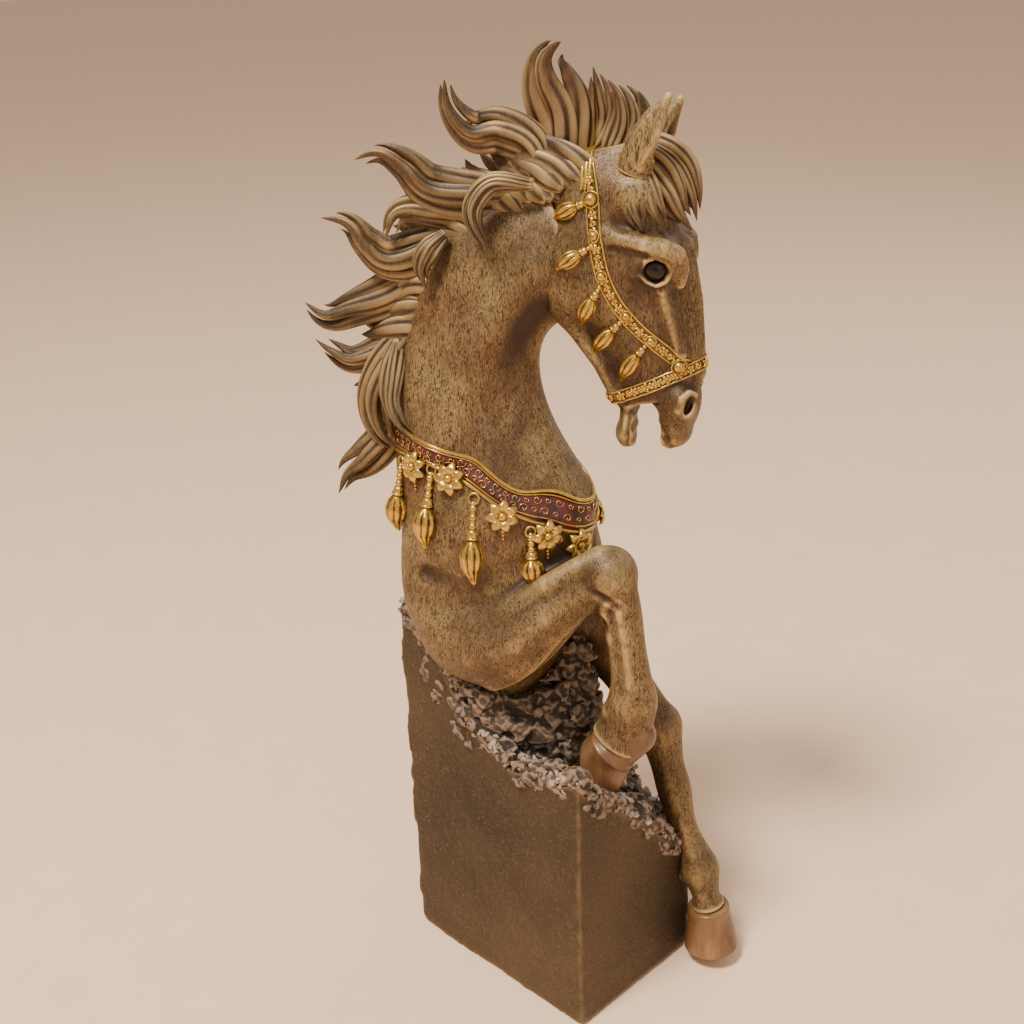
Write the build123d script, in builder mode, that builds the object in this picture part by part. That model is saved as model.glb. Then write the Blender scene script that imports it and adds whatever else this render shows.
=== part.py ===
from build123d import *
from math import cos, exp, pi, radians, sin
import os

# Table-top statue: the forequarters of a rearing horse breaking out of a rectangular plinth.
# Millimetres, +Z up. The origin is the centre of the felt's underside, on the table.
# +X runs along the plinth's long side and +Y along its short side. The horse is built in its own
# upright plane, which passes through the origin and is turned by HEADING from +X: a place on the
# horse is (s, t, z), with s forward, t to the horse's left and z up.

# ---- driving dimensions ---------------------------------------------------------------------

PLINTH_LENGTH = 105.0
PLINTH_WIDTH = 75.0
WALL = 5.0
FELT_THICK = 1.0
FELT_INSET = 3.0
BASE_PLATE_THICK = 5.0
ROCK_THICK = 24.0

# Height of the broken rim at the plinth's four corners, and the dip along its tall side.
TALL_CORNER = 172.0
FRONT_CORNER = 125.0
LOW_CORNER = 52.0
REAR_CORNER = 128.0
RIM_DIP = 26.0
POCKET_DEPTH = 16.0
# Mounds of rock under the chest, behind the shoulder and before the chest: centre (s, t), height, spread.
ROCK_MOUNDS = [((2.0, 8.0), 42.0, 17.0), ((-44.0, -12.0), 12.0, 12.0), ((14.0, -3.0), 36.0, 11.0)]
BREAK_STEPS = 8
BREAK_ROUGHNESS = 2.6

HEADING = 30.0
FORWARD = Vector(cos(radians(HEADING)), sin(radians(HEADING)), 0)
LEFT = Vector(-sin(radians(HEADING)), cos(radians(HEADING)), 0)
UP = Vector(0, 0, 1)
SIDE = Plane(origin=(0, 0, 0), x_dir=FORWARD, z_dir=-LEFT)

DOWEL_RADIUS = 3.0
DOWEL_LENGTH = 34.0
DOWEL_PLACES = [(-38.0, 0.0, 124.0), (-28.0, 0.0, 122.0)]

# Torso and neck: back (s, z), front (s, z) and half width of each oval section.
BODY_SECTIONS = [
    ((-46, 118), (-20, 114), 13),
    ((-48, 139), (-4, 134), 19),
    ((-53, 160), (8, 154), 26),
    ((-57, 186), (16, 176), 31),
    ((-60, 214), (21.5, 202), 33),
    ((-60.5, 240), (22.5, 223), 31),
    ((-60.5, 258), (15, 240), 26.5),
    ((-59, 279), (5, 260), 22),
    ((-53, 302), (1, 276), 19.5),
    ((-43, 327), (2, 290), 18),
    ((-25, 346), (8, 299), 16.5),
    ((2, 353), (18, 303), 15),
    ((24, 348), (30, 312), 12),
]

# Head from the poll to the noseband, then the upper muzzle and the lower jaw.
HEAD_SECTIONS = [
    ((20, 365), (42, 370), 7),
    ((9, 355), (48, 362), 12.5),
    ((6, 340), (53, 347), 16.5),
    ((7, 324), (57, 331), 18),
    ((12, 307), (60, 315), 16.5),
    ((24, 291), (62, 299), 13),
    ((30, 277), (63, 286), 11.5),
    ((33, 268), (64, 276), 11),
]
MUZZLE_SECTIONS = [
    ((42.5, 270.3), (64, 276), 10.8),
    ((46, 262), (64.5, 268), 11.2),
    ((49.5, 256), (62, 260), 9.6),
    ((53, 253), (58.5, 254.5), 5.5),
]
JAW_SECTIONS = [
    ((33, 268), (42.3, 270.4), 9),
    ((32.8, 261), (40, 262.5), 8.4),
    ((32.5, 255), (39, 255.5), 7.4),
    ((34, 250.5), (38, 251.2), 5),
]

# Limbs: centre (s, t, z), radius in the horse's plane and radius across it.
RIGHT_FOREARM = [
    ((-36, -15, 172), 12, 10),
    ((-24, -22, 170), 19, 14),
    ((-10, -26, 171), 21, 14.5),
    ((3, -27.5, 180), 17, 12.5),
    ((14, -27.5, 191), 12.5, 11),
    ((24, -27, 200), 10, 9.5),
    ((31, -26.5, 204), 9.5, 9.5),
]
RIGHT_KNEE = ((33.5, -26, 205.5), 10.6)
RIGHT_CANNON = [
    ((34.5, -26, 206), 9, 9),
    ((36.5, -25.8, 193), 8.6, 8.4),
    ((39.5, -25.3, 178), 7.4, 7.4),
    ((41.5, -24.8, 163), 7.4, 7.4),
    ((42.5, -24.3, 148), 8.8, 8.6),
    ((41, -24, 136), 9.6, 9),
    ((36.5, -24, 127), 12, 10.6),
]
RIGHT_HOOF = [
    ((35.5, -24, 127), 12.8, 11.4),
    ((33.5, -24, 115), 12, 11.4),
    ((32, -24, 104), 9.6, 9.8),
    ((31.5, -24, 98.5), 5.5, 6),
]
LEFT_LEG = [
    ((-6, 12, 192), 15, 12),
    ((10, 15.5, 171), 15, 12),
    ((28, 14.5, 143), 11.5, 10),
    ((41, 12.5, 122), 9.5, 9),
    ((47.5, 11, 110), 9.6, 9),
    ((53, 9, 94), 6.6, 6.8),
    ((59, 6, 74), 5.5, 6),
    ((65, 3, 57), 6, 6.2),
    ((68.5, 1.8, 46), 8, 8),
    ((71, 0.8, 36), 6.4, 7),
    ((73, 0, 28), 8.4, 9),
]
LEFT_HOOF = [
    ((73, 0, 28), 9, 9.6),
    ((74, -0.5, 17), 10.8, 11),
    ((75, -1, 6), 12.4, 12),
]
EAR_SECTIONS = [
    ((40, 11.5, 359), 6.5, 4.5),
    ((43, 12.5, 368), 6, 4.6),
    ((47, 13.5, 377), 4.4, 3.6),
    ((53.5, 14, 386.5), 0.8, 0.8),
]
LEFT_EAR_DROP = 5.0
EYE_PLACE = (49.0, 14.5, 325.5)
EYE_RADIUS = 4.3

# Mane: the ridge along the crest, then each lock's line from root to tip, its width and thickness.
CREST_LINE = [
    (-56, 0, 254), (-57, 0, 276), (-51, 0, 300), (-40, 0, 325), (-22, 0, 344), (2, 0, 355), (26, 0, 365)]
CREST_RADII = (7.5, 7.0)
MANE_LOCKS = {
    "mane_lock_1": ([(14, 0, 358), (12, -1, 378), (8, -2, 390), (8, -3, 398), (14, -5, 405)], 17, 9),
    "mane_lock_2": (
        [(6, -3, 352), (1, -5, 367), (-10, -7, 373), (-20, -9, 373), (-27, -12, 382),
         (-28, -14, 393)], 12, 8),
    "mane_lock_3": (
        [(-2, -6, 350), (-24, -10, 350), (-37, -12, 353), (-45, -14, 361), (-54, -16, 366),
         (-64, -17, 363)], 13, 8),
    "mane_lock_4": (
        [(-26, -6, 336), (-43, -8, 327), (-55, -11, 325), (-63, -13, 331), (-69, -15, 339),
         (-80, -16, 341)], 13, 8),
    "mane_lock_5": ([(-16, -7, 341), (-36, -10, 344), (-49, -13, 343), (-54, -15, 333)], 10, 6),
    "mane_lock_6": ([(-42, -4, 320), (-57, -6, 310), (-72, -8, 304), (-83, -10, 301),
                     (-92, -11, 308)], 13, 8),
    "mane_lock_7": ([(-50, -3, 296), (-64, -5, 286), (-75, -7, 282), (-83, -8, 286),
                     (-90, -8, 292)], 10, 7),
    "mane_lock_8": ([(-48, -6, 296), (-60, -9, 281), (-65, -11, 267), (-63, -12, 254),
                     (-56, -11, 246)], 12, 8),
    "mane_lock_9": ([(-55, -3, 266), (-63, -6, 250), (-72, -8, 240), (-80, -10, 234),
                     (-85, -12, 224)], 12, 8),
}
NECK_CURLS = [
    ([(4, -15, 355), (-10, -18, 356), (-17, -20.5, 349), (-17, -21.5, 341), (-11, -21.5, 330)], 6, 4.5),
    ([(-31, -14, 336), (-36, -18, 331), (-39, -20, 324), (-37, -20.5, 316)], 6, 4.5),
    ([(-54, -9, 292), (-56, -14, 280), (-56, -18, 270), (-52, -21, 262), (-46, -23, 256)], 7, 4.5),
]
POLL_LOCKS = [
    ([(20, 2, 360), (26, 1, 374), (26, 0, 384), (23, 0, 395)], 9, 6),
    ([(29, -3, 362), (35, -3, 375), (34, -3, 384), (29, -3, 391)], 8, 5),
    ([(33, 4, 363), (40, 4, 373), (39, 4, 382), (34, 4, 388)], 7, 5),
    ([(22, 9, 358), (20, 11, 372), (14, 13, 382), (12, 14, 392)], 9, 6),
]
FAR_LOCKS = [
    ([(2, 7, 353), (-6, 10, 366), (-18, 13, 371), (-30, 15, 368), (-38, 16, 374)], 11, 7),
    ([(-20, 8, 342), (-35, 12, 345), (-48, 15, 347), (-58, 17, 355)], 11, 7),
    ([(-36, 8, 326), (-50, 12, 322), (-62, 15, 320), (-73, 17, 326)], 11, 7),
    ([(-48, 8, 304), (-60, 11, 298), (-72, 14, 293), (-80, 16, 297)], 10, 7),
    ([(-54, 7, 280), (-64, 10, 270), (-72, 13, 262), (-80, 14, 263)], 10, 7),
    ([(-56, 8, 262), (-64, 11, 250), (-68, 14, 240), (-66, 16, 230)], 10, 6),
]
FORELOCK = [
    ([(38, 0, 366), (48, 0, 365), (56, 0, 359), (61, 0, 350), (62, 0, 342)], 8, 6),
    ([(39, -6, 362), (46, -7, 356), (53, -6, 348), (62, -4, 340)], 8, 5),
    ([(39, 6, 363), (47, 7, 358), (54, 7, 351), (60, 6, 341)], 8, 5),
    ([(37, -9, 360), (42, -13, 352), (45, -14.5, 343)], 6, 4),
]
LOCK_STATIONS = 7
TIP_WIDTH = 0.09

# Bridle: strap lines on the side of the head, (s, z).
CHEEK_LINE = [(23, 362), (25.5, 351), (27, 337), (30.5, 321), (38, 307), (48, 296.5), (60, 286)]
CROWN_LINE = [(24, 378), (24, 357)]
NOSE_LINE = [(24, 271), (34, 273), (43, 277.5), (54, 282.5), (70, 288)]
STRAP_WIDTH = 5.0
STRAP_THICK = 1.3
STUD_PLACES = [(25.5, 350), (27, 337.5), (29.5, 323), (38, 307.5), (47, 297.5), (57, 287)]
STUD_RADIUS = 1.9
BRIDLE_TASSELS = [
    ((22, 349), (12, 343)),
    ((24, 334), (13.5, 326)),
    ((27, 319), (20, 306)),
    ((34, 304), (24, 293)),
    ((43, 294), (35, 282)),
]
BRIDLE_BUD_RADIUS = 2.7

# Breast collar: its middle line on the side of the body, (s, z).
COLLAR_LINE = [
    (-72, 247), (-60, 250.5), (-42, 252), (-22, 245.5), (-5, 234), (10, 226), (20, 220.5), (34, 214)]
COLLAR_WIDTH = 9.0
COLLAR_THICK = 1.6
PIPING_WIDTH = 1.8
PIPING_THICK = 2.4
FLOWER_PLACES = [(-45, 243), (-29, 239.6), (-8, 228), (8, 218), (18, 211)]
FLOWER_RADIUS = 4.6
PETAL_THICK = 1.8
PETAL_LIFT = 0.2
COLLAR_TASSELS = [
    ((-52, 244), (-55, 213)),
    ((-37, 245), (-40, 213)),
    ((-19, 236), (-21, 202)),
    ((2, 222), (2, 199)),
    ((17, 211), (17, 183)),
]
COLLAR_BUD_RADIUS = 4.0
BEAD_RADIUS = 1.5
BEAD_LIFT = 1.0


# ---- shared geometry ------------------------------------------------------------------------


def horse_point(s, t, z):
    return FORWARD * s + LEFT * t + UP * z


def oval(plane, depth, width):
    """Closed oval on a plane, with half axes depth along its X and width along its Y."""
    with BuildSketch(plane) as sketch:
        with BuildLine():
            angles = [pi * step / 4 for step in range(8)]
            Spline(*[(depth * cos(angle), width * sin(angle)) for angle in angles], periodic=True)
        make_face()
    return sketch.sketch


def body_form(sections, extra=0.0):
    """Loft through sections given by their back and front points, each grown by extra."""
    ovals = []
    for back, front, width in sections:
        start = horse_point(back[0], 0, back[1])
        end = horse_point(front[0], 0, front[1])
        across = (end - start).normalized()
        plane = Plane(origin=(start + end) * 0.5, x_dir=across, z_dir=across.cross(LEFT))
        ovals.append(oval(plane, (end - start).length / 2 + extra, width + extra))
    with BuildPart() as form:
        loft(ovals)
    return form.part


def limb_form(sections):
    """Loft along a chain of centres, each section square to the line through its neighbours."""
    centres = [horse_point(*centre) for centre, depth, width in sections]
    ovals = []
    for index, (centre, depth, width) in enumerate(sections):
        before = centres[max(index - 1, 0)]
        after = centres[min(index + 1, len(centres) - 1)]
        along = (after - before).normalized()
        plane = Plane(origin=centres[index], x_dir=LEFT.cross(along).normalized(), z_dir=along)
        ovals.append(oval(plane, depth, width))
    with BuildPart() as form:
        loft(ovals)
    return form.part


def lock_form(line, width, thickness):
    """Flat lock of hair that swells after its root and tapers to its tip."""
    with BuildLine():
        spine = Spline(*[horse_point(*point) for point in line])
    ovals = []
    for step in range(LOCK_STATIONS):
        along = step / (LOCK_STATIONS - 1)
        swell = max(sin(pi * (0.24 + 0.76 * along)), TIP_WIDTH)
        tangent = spine % along
        plane = Plane(origin=spine @ along, x_dir=LEFT.cross(tangent).normalized(), z_dir=tangent)
        ovals.append(oval(plane, swell * width / 2, swell * thickness / 2))
    with BuildPart() as form:
        loft(ovals)
    return form.part


def side_prism(line, low, high, reach=60.0):
    """Slab across the horse between two copies of a side line, one lowered and one raised."""
    points = [Vector(s, z) for s, z in line]
    with BuildPart() as prism:
        with BuildSketch(SIDE):
            with BuildLine():
                lower = Spline(*shifted(points, low))
                upper = Spline(*shifted(points, high))
                Line(lower @ 0, upper @ 0)
                Line(lower @ 1, upper @ 1)
            make_face()
        extrude(amount=reach, both=True)
    return prism.part


def shifted(points, distance):
    """The points of a side line moved square to it by distance."""
    moved = []
    for index, point in enumerate(points):
        along = points[min(index + 1, len(points) - 1)] - points[max(index - 1, 0)]
        moved.append(point + Vector(-along.Y, along.X).normalized() * distance)
    return moved


def skin_point(form, s, z, side, lift=0.0):
    """Point on the outside of a form at (s, z), on the horse's left (side 1) or right (-1)."""
    axis = Axis(horse_point(s, side * 90, z), LEFT * -side)
    hits = form.find_intersection_points(axis)
    outer = max((point for point, normal in hits), key=lambda point: side * point.dot(LEFT))
    return outer + LEFT * (side * lift)


def near(shape, bodies):
    """The bodies whose bounding boxes meet the shape's own."""
    box = shape.bounding_box()
    return [body for body in bodies if boxes_meet(box, body.bounding_box())]


def boxes_meet(one, other):
    return all(
        low <= high
        for low, high in zip([*one.min, *other.min], [*other.max, *one.max]))


def half_space(side):
    """Block that holds everything on one side of the horse's plane."""
    with BuildPart() as block:
        with BuildSketch(SIDE):
            with Locations((0, 250)):
                Rectangle(400, 500)
        extrude(amount=-side * 120)
    return block.part


def hanging_bud(start, end, radius):
    """Bell-shaped bud that hangs from start and comes to a curled point at end."""
    length = (end - start).length
    along = (end - start).normalized()
    plane = Plane(origin=start, x_dir=along.cross(Vector(1, 0.3, 0.2)).normalized(), z_dir=along)
    with BuildPart() as bud:
        with BuildSketch(Plane(origin=plane.origin, x_dir=plane.x_dir, z_dir=plane.y_dir * -1)):
            with BuildLine():
                Line((0, length), (0, 0))
                Line((0, 0), (radius * 0.45, 0))
                Spline(
                    (radius * 0.45, 0), (radius * 0.5, length * 0.2), (radius, length * 0.55),
                    (radius * 0.8, length * 0.8), (0, length))
            make_face()
        revolve(axis=Axis(start, along))
    return bud.part


def flower_form(centre, outward):
    """Five round petals about a raised heart, lying flat against the body."""
    plane = Plane(origin=centre, x_dir=UP.cross(outward).normalized(), z_dir=outward)
    with BuildPart() as flower:
        with BuildSketch(plane):
            with PolarLocations(FLOWER_RADIUS * 0.6, 5):
                Circle(FLOWER_RADIUS * 0.42)
            Circle(FLOWER_RADIUS * 0.5)
        extrude(amount=PETAL_THICK)
        with BuildSketch(plane.offset(PETAL_THICK)):
            Circle(FLOWER_RADIUS * 0.3)
        extrude(amount=PETAL_THICK / 2)
    return flower.part


def mirrored(point):
    """The same place on the horse's other side."""
    return point - LEFT * (2 * point.dot(LEFT))


# ---- plinth and rock ------------------------------------------------------------------------


def rock_height(x, y, roughness=BREAK_ROUGHNESS):
    """Height of the broken surface above a place on the table."""
    u = x / PLINTH_LENGTH + 0.5
    v = y / PLINTH_WIDTH + 0.5
    near = TALL_CORNER + (FRONT_CORNER - TALL_CORNER) * u - RIM_DIP * sin(pi * u)
    far = REAR_CORNER + (LOW_CORNER - REAR_CORNER) * u
    pocket = POCKET_DEPTH * max(0, sin(pi * u) * sin(pi * v)) ** 2
    place = Vector(x, y, 0)
    mounds = sum(
        height * exp(-(place - horse_point(s, t, 0)).length ** 2 / spread ** 2)
        for (s, t), height, spread in ROCK_MOUNDS)
    ripple = roughness * (sin(x * 0.9 + y * 0.37) + sin(y * 0.8 - x * 0.21)) / 1.6
    return near + (far - near) * v - pocket + mounds + ripple


def broken_block(drop):
    """Block over the whole footprint whose faceted top is the broken surface lowered by drop."""
    count = BREAK_STEPS
    xs = [PLINTH_LENGTH * (step / count - 0.5) for step in range(count + 1)]
    ys = [PLINTH_WIDTH * (step / count - 0.5) for step in range(count + 1)]
    top = {
        (i, j): Vector(x, y, rock_height(x, y) - drop)
        for i, x in enumerate(xs) for j, y in enumerate(ys)}
    faces = []
    for i in range(count):
        for j in range(count):
            a, b, c, d = top[i, j], top[i + 1, j], top[i + 1, j + 1], top[i, j + 1]
            faces.append(Face(Wire.make_polygon([a, b, c])))
            faces.append(Face(Wire.make_polygon([a, c, d])))
    rows = [
        [top[i, 0] for i in range(count + 1)],
        [top[count, j] for j in range(count + 1)],
        [top[i, count] for i in range(count, -1, -1)],
        [top[0, j] for j in range(count, -1, -1)],
    ]
    for row in rows:
        foot = [Vector(row[-1].X, row[-1].Y, 0), Vector(row[0].X, row[0].Y, 0)]
        faces.append(Face(Wire.make_polygon(row + foot)))
    faces.append(Face(Wire.make_polygon([Vector(row[0].X, row[0].Y, 0) for row in rows])))
    return Solid(Shell(faces))


def column(inset, bottom, top):
    """Upright block with the plinth's footprint, inset on every side."""
    with BuildPart() as block:
        with BuildSketch(Plane.XY.offset(bottom)):
            Rectangle(PLINTH_LENGTH - 2 * inset, PLINTH_WIDTH - 2 * inset)
        extrude(amount=top - bottom)
    return block.part


def stones(places, size, bodies):
    """Broken stones standing on the rock at (x, y) places, cut to the footprint and to bodies."""
    with BuildPart() as group:
        for index, (x, y) in enumerate(places):
            turn = (index * 137.5 + 20 * size) % 360
            length = size * (0.8 + 0.35 * sin(index * 2.3))
            stone_tilt = (26 * sin(index * 1.7), 24 * cos(index * 2.9), turn)
            with Locations((x, y, rock_height(x, y))):
                Box(length, size * 0.75, size * 0.62, rotation=stone_tilt)
        add(column(0, 0, 250), mode=Mode.INTERSECT)
        for body in near(group.part, bodies):
            add(body, mode=Mode.SUBTRACT)
    return group


plinth_bottom = FELT_THICK
shell_floor = plinth_bottom + BASE_PLATE_THICK

with BuildPart() as felt_sheet:
    with BuildSketch():
        Rectangle(PLINTH_LENGTH - 2 * FELT_INSET, PLINTH_WIDTH - 2 * FELT_INSET)
    extrude(amount=FELT_THICK)

with BuildPart() as plinth_base_plate:
    add(column(WALL, plinth_bottom, shell_floor))

with BuildPart() as plinth_shell:
    add(column(0, plinth_bottom, 250))
    add(broken_block(0), mode=Mode.INTERSECT)
    add(column(WALL, 0, 250), mode=Mode.SUBTRACT)

with BuildPart() as locating_dowels:
    for place in DOWEL_PLACES:
        with Locations(horse_point(*place)):
            Cylinder(DOWEL_RADIUS, DOWEL_LENGTH)

# ---- horse ----------------------------------------------------------------------------------

whole_body = body_form(BODY_SECTIONS)
head_form = body_form(HEAD_SECTIONS)
collar_top = side_prism(COLLAR_LINE, 0, 160, reach=70)

with BuildPart() as head:
    add(head_form)
    add(body_form(MUZZLE_SECTIONS))
    with Locations(horse_point(*EYE_PLACE)):
        Sphere(EYE_RADIUS, mode=Mode.SUBTRACT)
    with Locations(mirrored(horse_point(*EYE_PLACE))):
        Sphere(EYE_RADIUS, mode=Mode.SUBTRACT)

with BuildPart() as lower_jaw:
    add(body_form(JAW_SECTIONS))
    add(head.part, mode=Mode.SUBTRACT)

with BuildPart() as neck:
    add(whole_body)
    add(collar_top, mode=Mode.INTERSECT)
    add(head_form, mode=Mode.SUBTRACT)

with BuildPart() as torso:
    add(whole_body)
    add(collar_top, mode=Mode.SUBTRACT)
    add(locating_dowels.part, mode=Mode.SUBTRACT)

with BuildPart() as rock_bed:
    add(column(WALL, shell_floor, 250))
    add(broken_block(0), mode=Mode.INTERSECT)
    add(broken_block(ROCK_THICK), mode=Mode.SUBTRACT)
    add(whole_body, mode=Mode.SUBTRACT)
    add(locating_dowels.part, mode=Mode.SUBTRACT)

with BuildPart() as left_eye:
    with Locations(horse_point(*EYE_PLACE)):
        Sphere(EYE_RADIUS)

with BuildPart() as right_eye:
    with Locations(mirrored(horse_point(*EYE_PLACE))):
        Sphere(EYE_RADIUS)


def ear(side):
    """One ear; the left one is laid a little lower."""
    drop = LEFT_EAR_DROP if side > 0 else 0
    sections = [((s, side * t, z - drop), depth, width) for (s, t, z), depth, width in EAR_SECTIONS]
    with BuildPart() as form:
        add(limb_form(sections))
        add(head.part, mode=Mode.SUBTRACT)
    return form


left_ear = ear(1)
right_ear = ear(-1)

# The bent right foreleg: forearm forward and up to the knee, cannon down to the tucked hoof.
with BuildPart() as right_foreleg:
    add(limb_form(RIGHT_FOREARM))
    add(limb_form(RIGHT_CANNON))
    with Locations(horse_point(*RIGHT_KNEE[0])):
        Sphere(RIGHT_KNEE[1])
    add(torso.part, mode=Mode.SUBTRACT)

with BuildPart() as right_hoof:
    add(limb_form(RIGHT_HOOF))
    add(right_foreleg.part, mode=Mode.SUBTRACT)

# The left foreleg reaches down past the plinth's low corner and ends just above the table.
with BuildPart() as left_foreleg:
    add(limb_form(LEFT_LEG))
    add(torso.part, mode=Mode.SUBTRACT)
    add(rock_bed.part, mode=Mode.SUBTRACT)

with BuildPart() as left_hoof:
    add(limb_form(LEFT_HOOF))
    add(left_foreleg.part, mode=Mode.SUBTRACT)

# ---- broken stones --------------------------------------------------------------------------

half_length = PLINTH_LENGTH / 2
half_width = PLINTH_WIDTH / 2
fixed = [plinth_shell.part, rock_bed.part]
near_places = [(x, -half_width + 4 + 1.5 * sin(x)) for x in range(-50, 50, 7)]
front_places = [(half_length - 4 - 1.5 * sin(y), y) for y in range(-34, 36, 7)]
far_places = [(x, half_width - 4) for x in range(-46, 46, 9)]
back_places = [(-half_length + 4, y) for y in range(-28, 32, 8)]
pocket_places = [
    (x + 3 * sin(y), y + 3 * sin(x)) for x in range(-40, 44, 12) for y in range(-24, 28, 11)]

near_rim_stones = stones(near_places, 9.0, fixed)
fixed.append(near_rim_stones.part)
front_rim_stones = stones(front_places, 8.0, fixed)
fixed.append(front_rim_stones.part)
far_rim_stones = stones(far_places, 9.0, fixed)
fixed.append(far_rim_stones.part)
back_rim_stones = stones(back_places, 9.0, fixed)
fixed.append(back_rim_stones.part)
pocket_stones = stones(pocket_places, 10.0, [torso.part, *fixed])

# ---- mane -----------------------------------------------------------------------------------

with BuildPart() as mane_crest:
    add(limb_form([(point, *CREST_RADII) for point in CREST_LINE]))
    add(neck.part, mode=Mode.SUBTRACT)
    add(torso.part, mode=Mode.SUBTRACT)
    add(head.part, mode=Mode.SUBTRACT)

scalp = [neck.part, torso.part, head.part, mane_crest.part, left_ear.part, right_ear.part]


def hair(locks):
    """Locks cut to what they grow from and to every lock made before them."""
    with BuildPart() as group:
        for line, width, thickness in locks:
            add(lock_form(line, width, thickness))
        for body in near(group.part, scalp):
            add(body, mode=Mode.SUBTRACT)
    scalp.append(group.part)
    return group


mane_groups = {name: hair([lock]) for name, lock in MANE_LOCKS.items()}
mane_groups["mane_neck_curls"] = hair(NECK_CURLS)
mane_groups["mane_poll_locks"] = hair(POLL_LOCKS)
mane_groups["mane_far_locks"] = hair(FAR_LOCKS)
mane_groups["forelock"] = hair(FORELOCK)

# ---- bridle ---------------------------------------------------------------------------------

strap_form = body_form(HEAD_SECTIONS, STRAP_THICK)
bridle_under = [head.part, lower_jaw.part, neck.part, mane_crest.part, left_ear.part, right_ear.part]


def strap(line, width, side=0):
    """Strap lying on the head along a side line, on both sides or on one."""
    with BuildPart() as form:
        add(strap_form)
        add(side_prism(line, -width / 2, width / 2), mode=Mode.INTERSECT)
        if side:
            add(half_space(side), mode=Mode.INTERSECT)
        for body in near(form.part, bridle_under):
            add(body, mode=Mode.SUBTRACT)
    bridle_under.append(form.part)
    return form


noseband = strap(NOSE_LINE, STRAP_WIDTH)
right_cheek_strap = strap(CHEEK_LINE, STRAP_WIDTH, -1)
left_cheek_strap = strap(CHEEK_LINE, STRAP_WIDTH, 1)
crown_strap = strap(CROWN_LINE, STRAP_WIDTH)


def bridle_studs(side):
    with BuildPart() as group:
        for s, z in STUD_PLACES:
            with Locations(skin_point(strap_form, s, z, side)):
                Sphere(STUD_RADIUS)
        for body in near(group.part, bridle_under):
            add(body, mode=Mode.SUBTRACT)
    bridle_under.append(group.part)
    return group


def bridle_tassels(side):
    with BuildPart() as group:
        for top, tip in BRIDLE_TASSELS:
            start = skin_point(strap_form, *top, side, 0.6)
            end = skin_point(strap_form, *tip, side, 1.2)
            add(hanging_bud(start, end, BRIDLE_BUD_RADIUS))
        for body in near(group.part, bridle_under):
            add(body, mode=Mode.SUBTRACT)
    return group


right_bridle_studs = bridle_studs(-1)
left_bridle_studs = bridle_studs(1)
right_bridle_tassels = bridle_tassels(-1)
left_bridle_tassels = bridle_tassels(1)

# ---- breast collar --------------------------------------------------------------------------

collar_under = [torso.part, neck.part, *scalp[3:]]


def collar_ring(low, high, thick):
    """Ring round the body between two heights of the collar line."""
    with BuildPart() as ring:
        add(body_form(BODY_SECTIONS, thick))
        add(side_prism(COLLAR_LINE, low, high), mode=Mode.INTERSECT)
        for body in near(ring.part, collar_under):
            add(body, mode=Mode.SUBTRACT)
    collar_under.append(ring.part)
    return ring


band_edge = COLLAR_WIDTH / 2 - PIPING_WIDTH
collar_band = collar_ring(-band_edge, band_edge, COLLAR_THICK)
collar_upper_piping = collar_ring(band_edge, COLLAR_WIDTH / 2, PIPING_THICK)
collar_lower_piping = collar_ring(-COLLAR_WIDTH / 2, -band_edge, PIPING_THICK)

collar_skin = [torso.part, collar_band.part, collar_lower_piping.part]

with BuildPart() as collar_flowers:
    for s, z in FLOWER_PLACES:
        for side in (-1, 1):
            centre = skin_point(whole_body, s, z, side)
            outward = (centre - horse_point(-19, 0, z)).normalized()
            add(flower_form(centre + outward * PETAL_LIFT, outward))
    for body in collar_skin:
        add(body, mode=Mode.SUBTRACT)


forelegs = {-1: right_foreleg, 1: left_foreleg}


def collar_tassel_parts(side):
    """Bead strings and the buds that hang from them, down one side of the collar."""
    with BuildPart() as beads:
        for top, tip in COLLAR_TASSELS:
            for step in range(5):
                place = [a + (b - a) * step * 0.09 for a, b in zip(top, tip)]
                with Locations(skin_point(whole_body, *place, side, BEAD_LIFT)):
                    Sphere(BEAD_RADIUS)
        for body in (torso.part, collar_lower_piping.part, collar_flowers.part):
            add(body, mode=Mode.SUBTRACT)
    with BuildPart() as buds:
        for top, tip in COLLAR_TASSELS:
            neck_place = [a + (b - a) * 0.42 for a, b in zip(top, tip)]
            start = skin_point(whole_body, *neck_place, side, BEAD_RADIUS)
            end = skin_point(whole_body, *tip, side, 3.5)
            add(hanging_bud(start, end, COLLAR_BUD_RADIUS))
        for body in (torso.part, forelegs[side].part, beads.part, collar_flowers.part):
            add(body, mode=Mode.SUBTRACT)
    return beads, buds


right_collar_beads, right_collar_tassels = collar_tassel_parts(-1)
left_collar_beads, left_collar_tassels = collar_tassel_parts(1)

# ---- every piece ----------------------------------------------------------------------------

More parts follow.
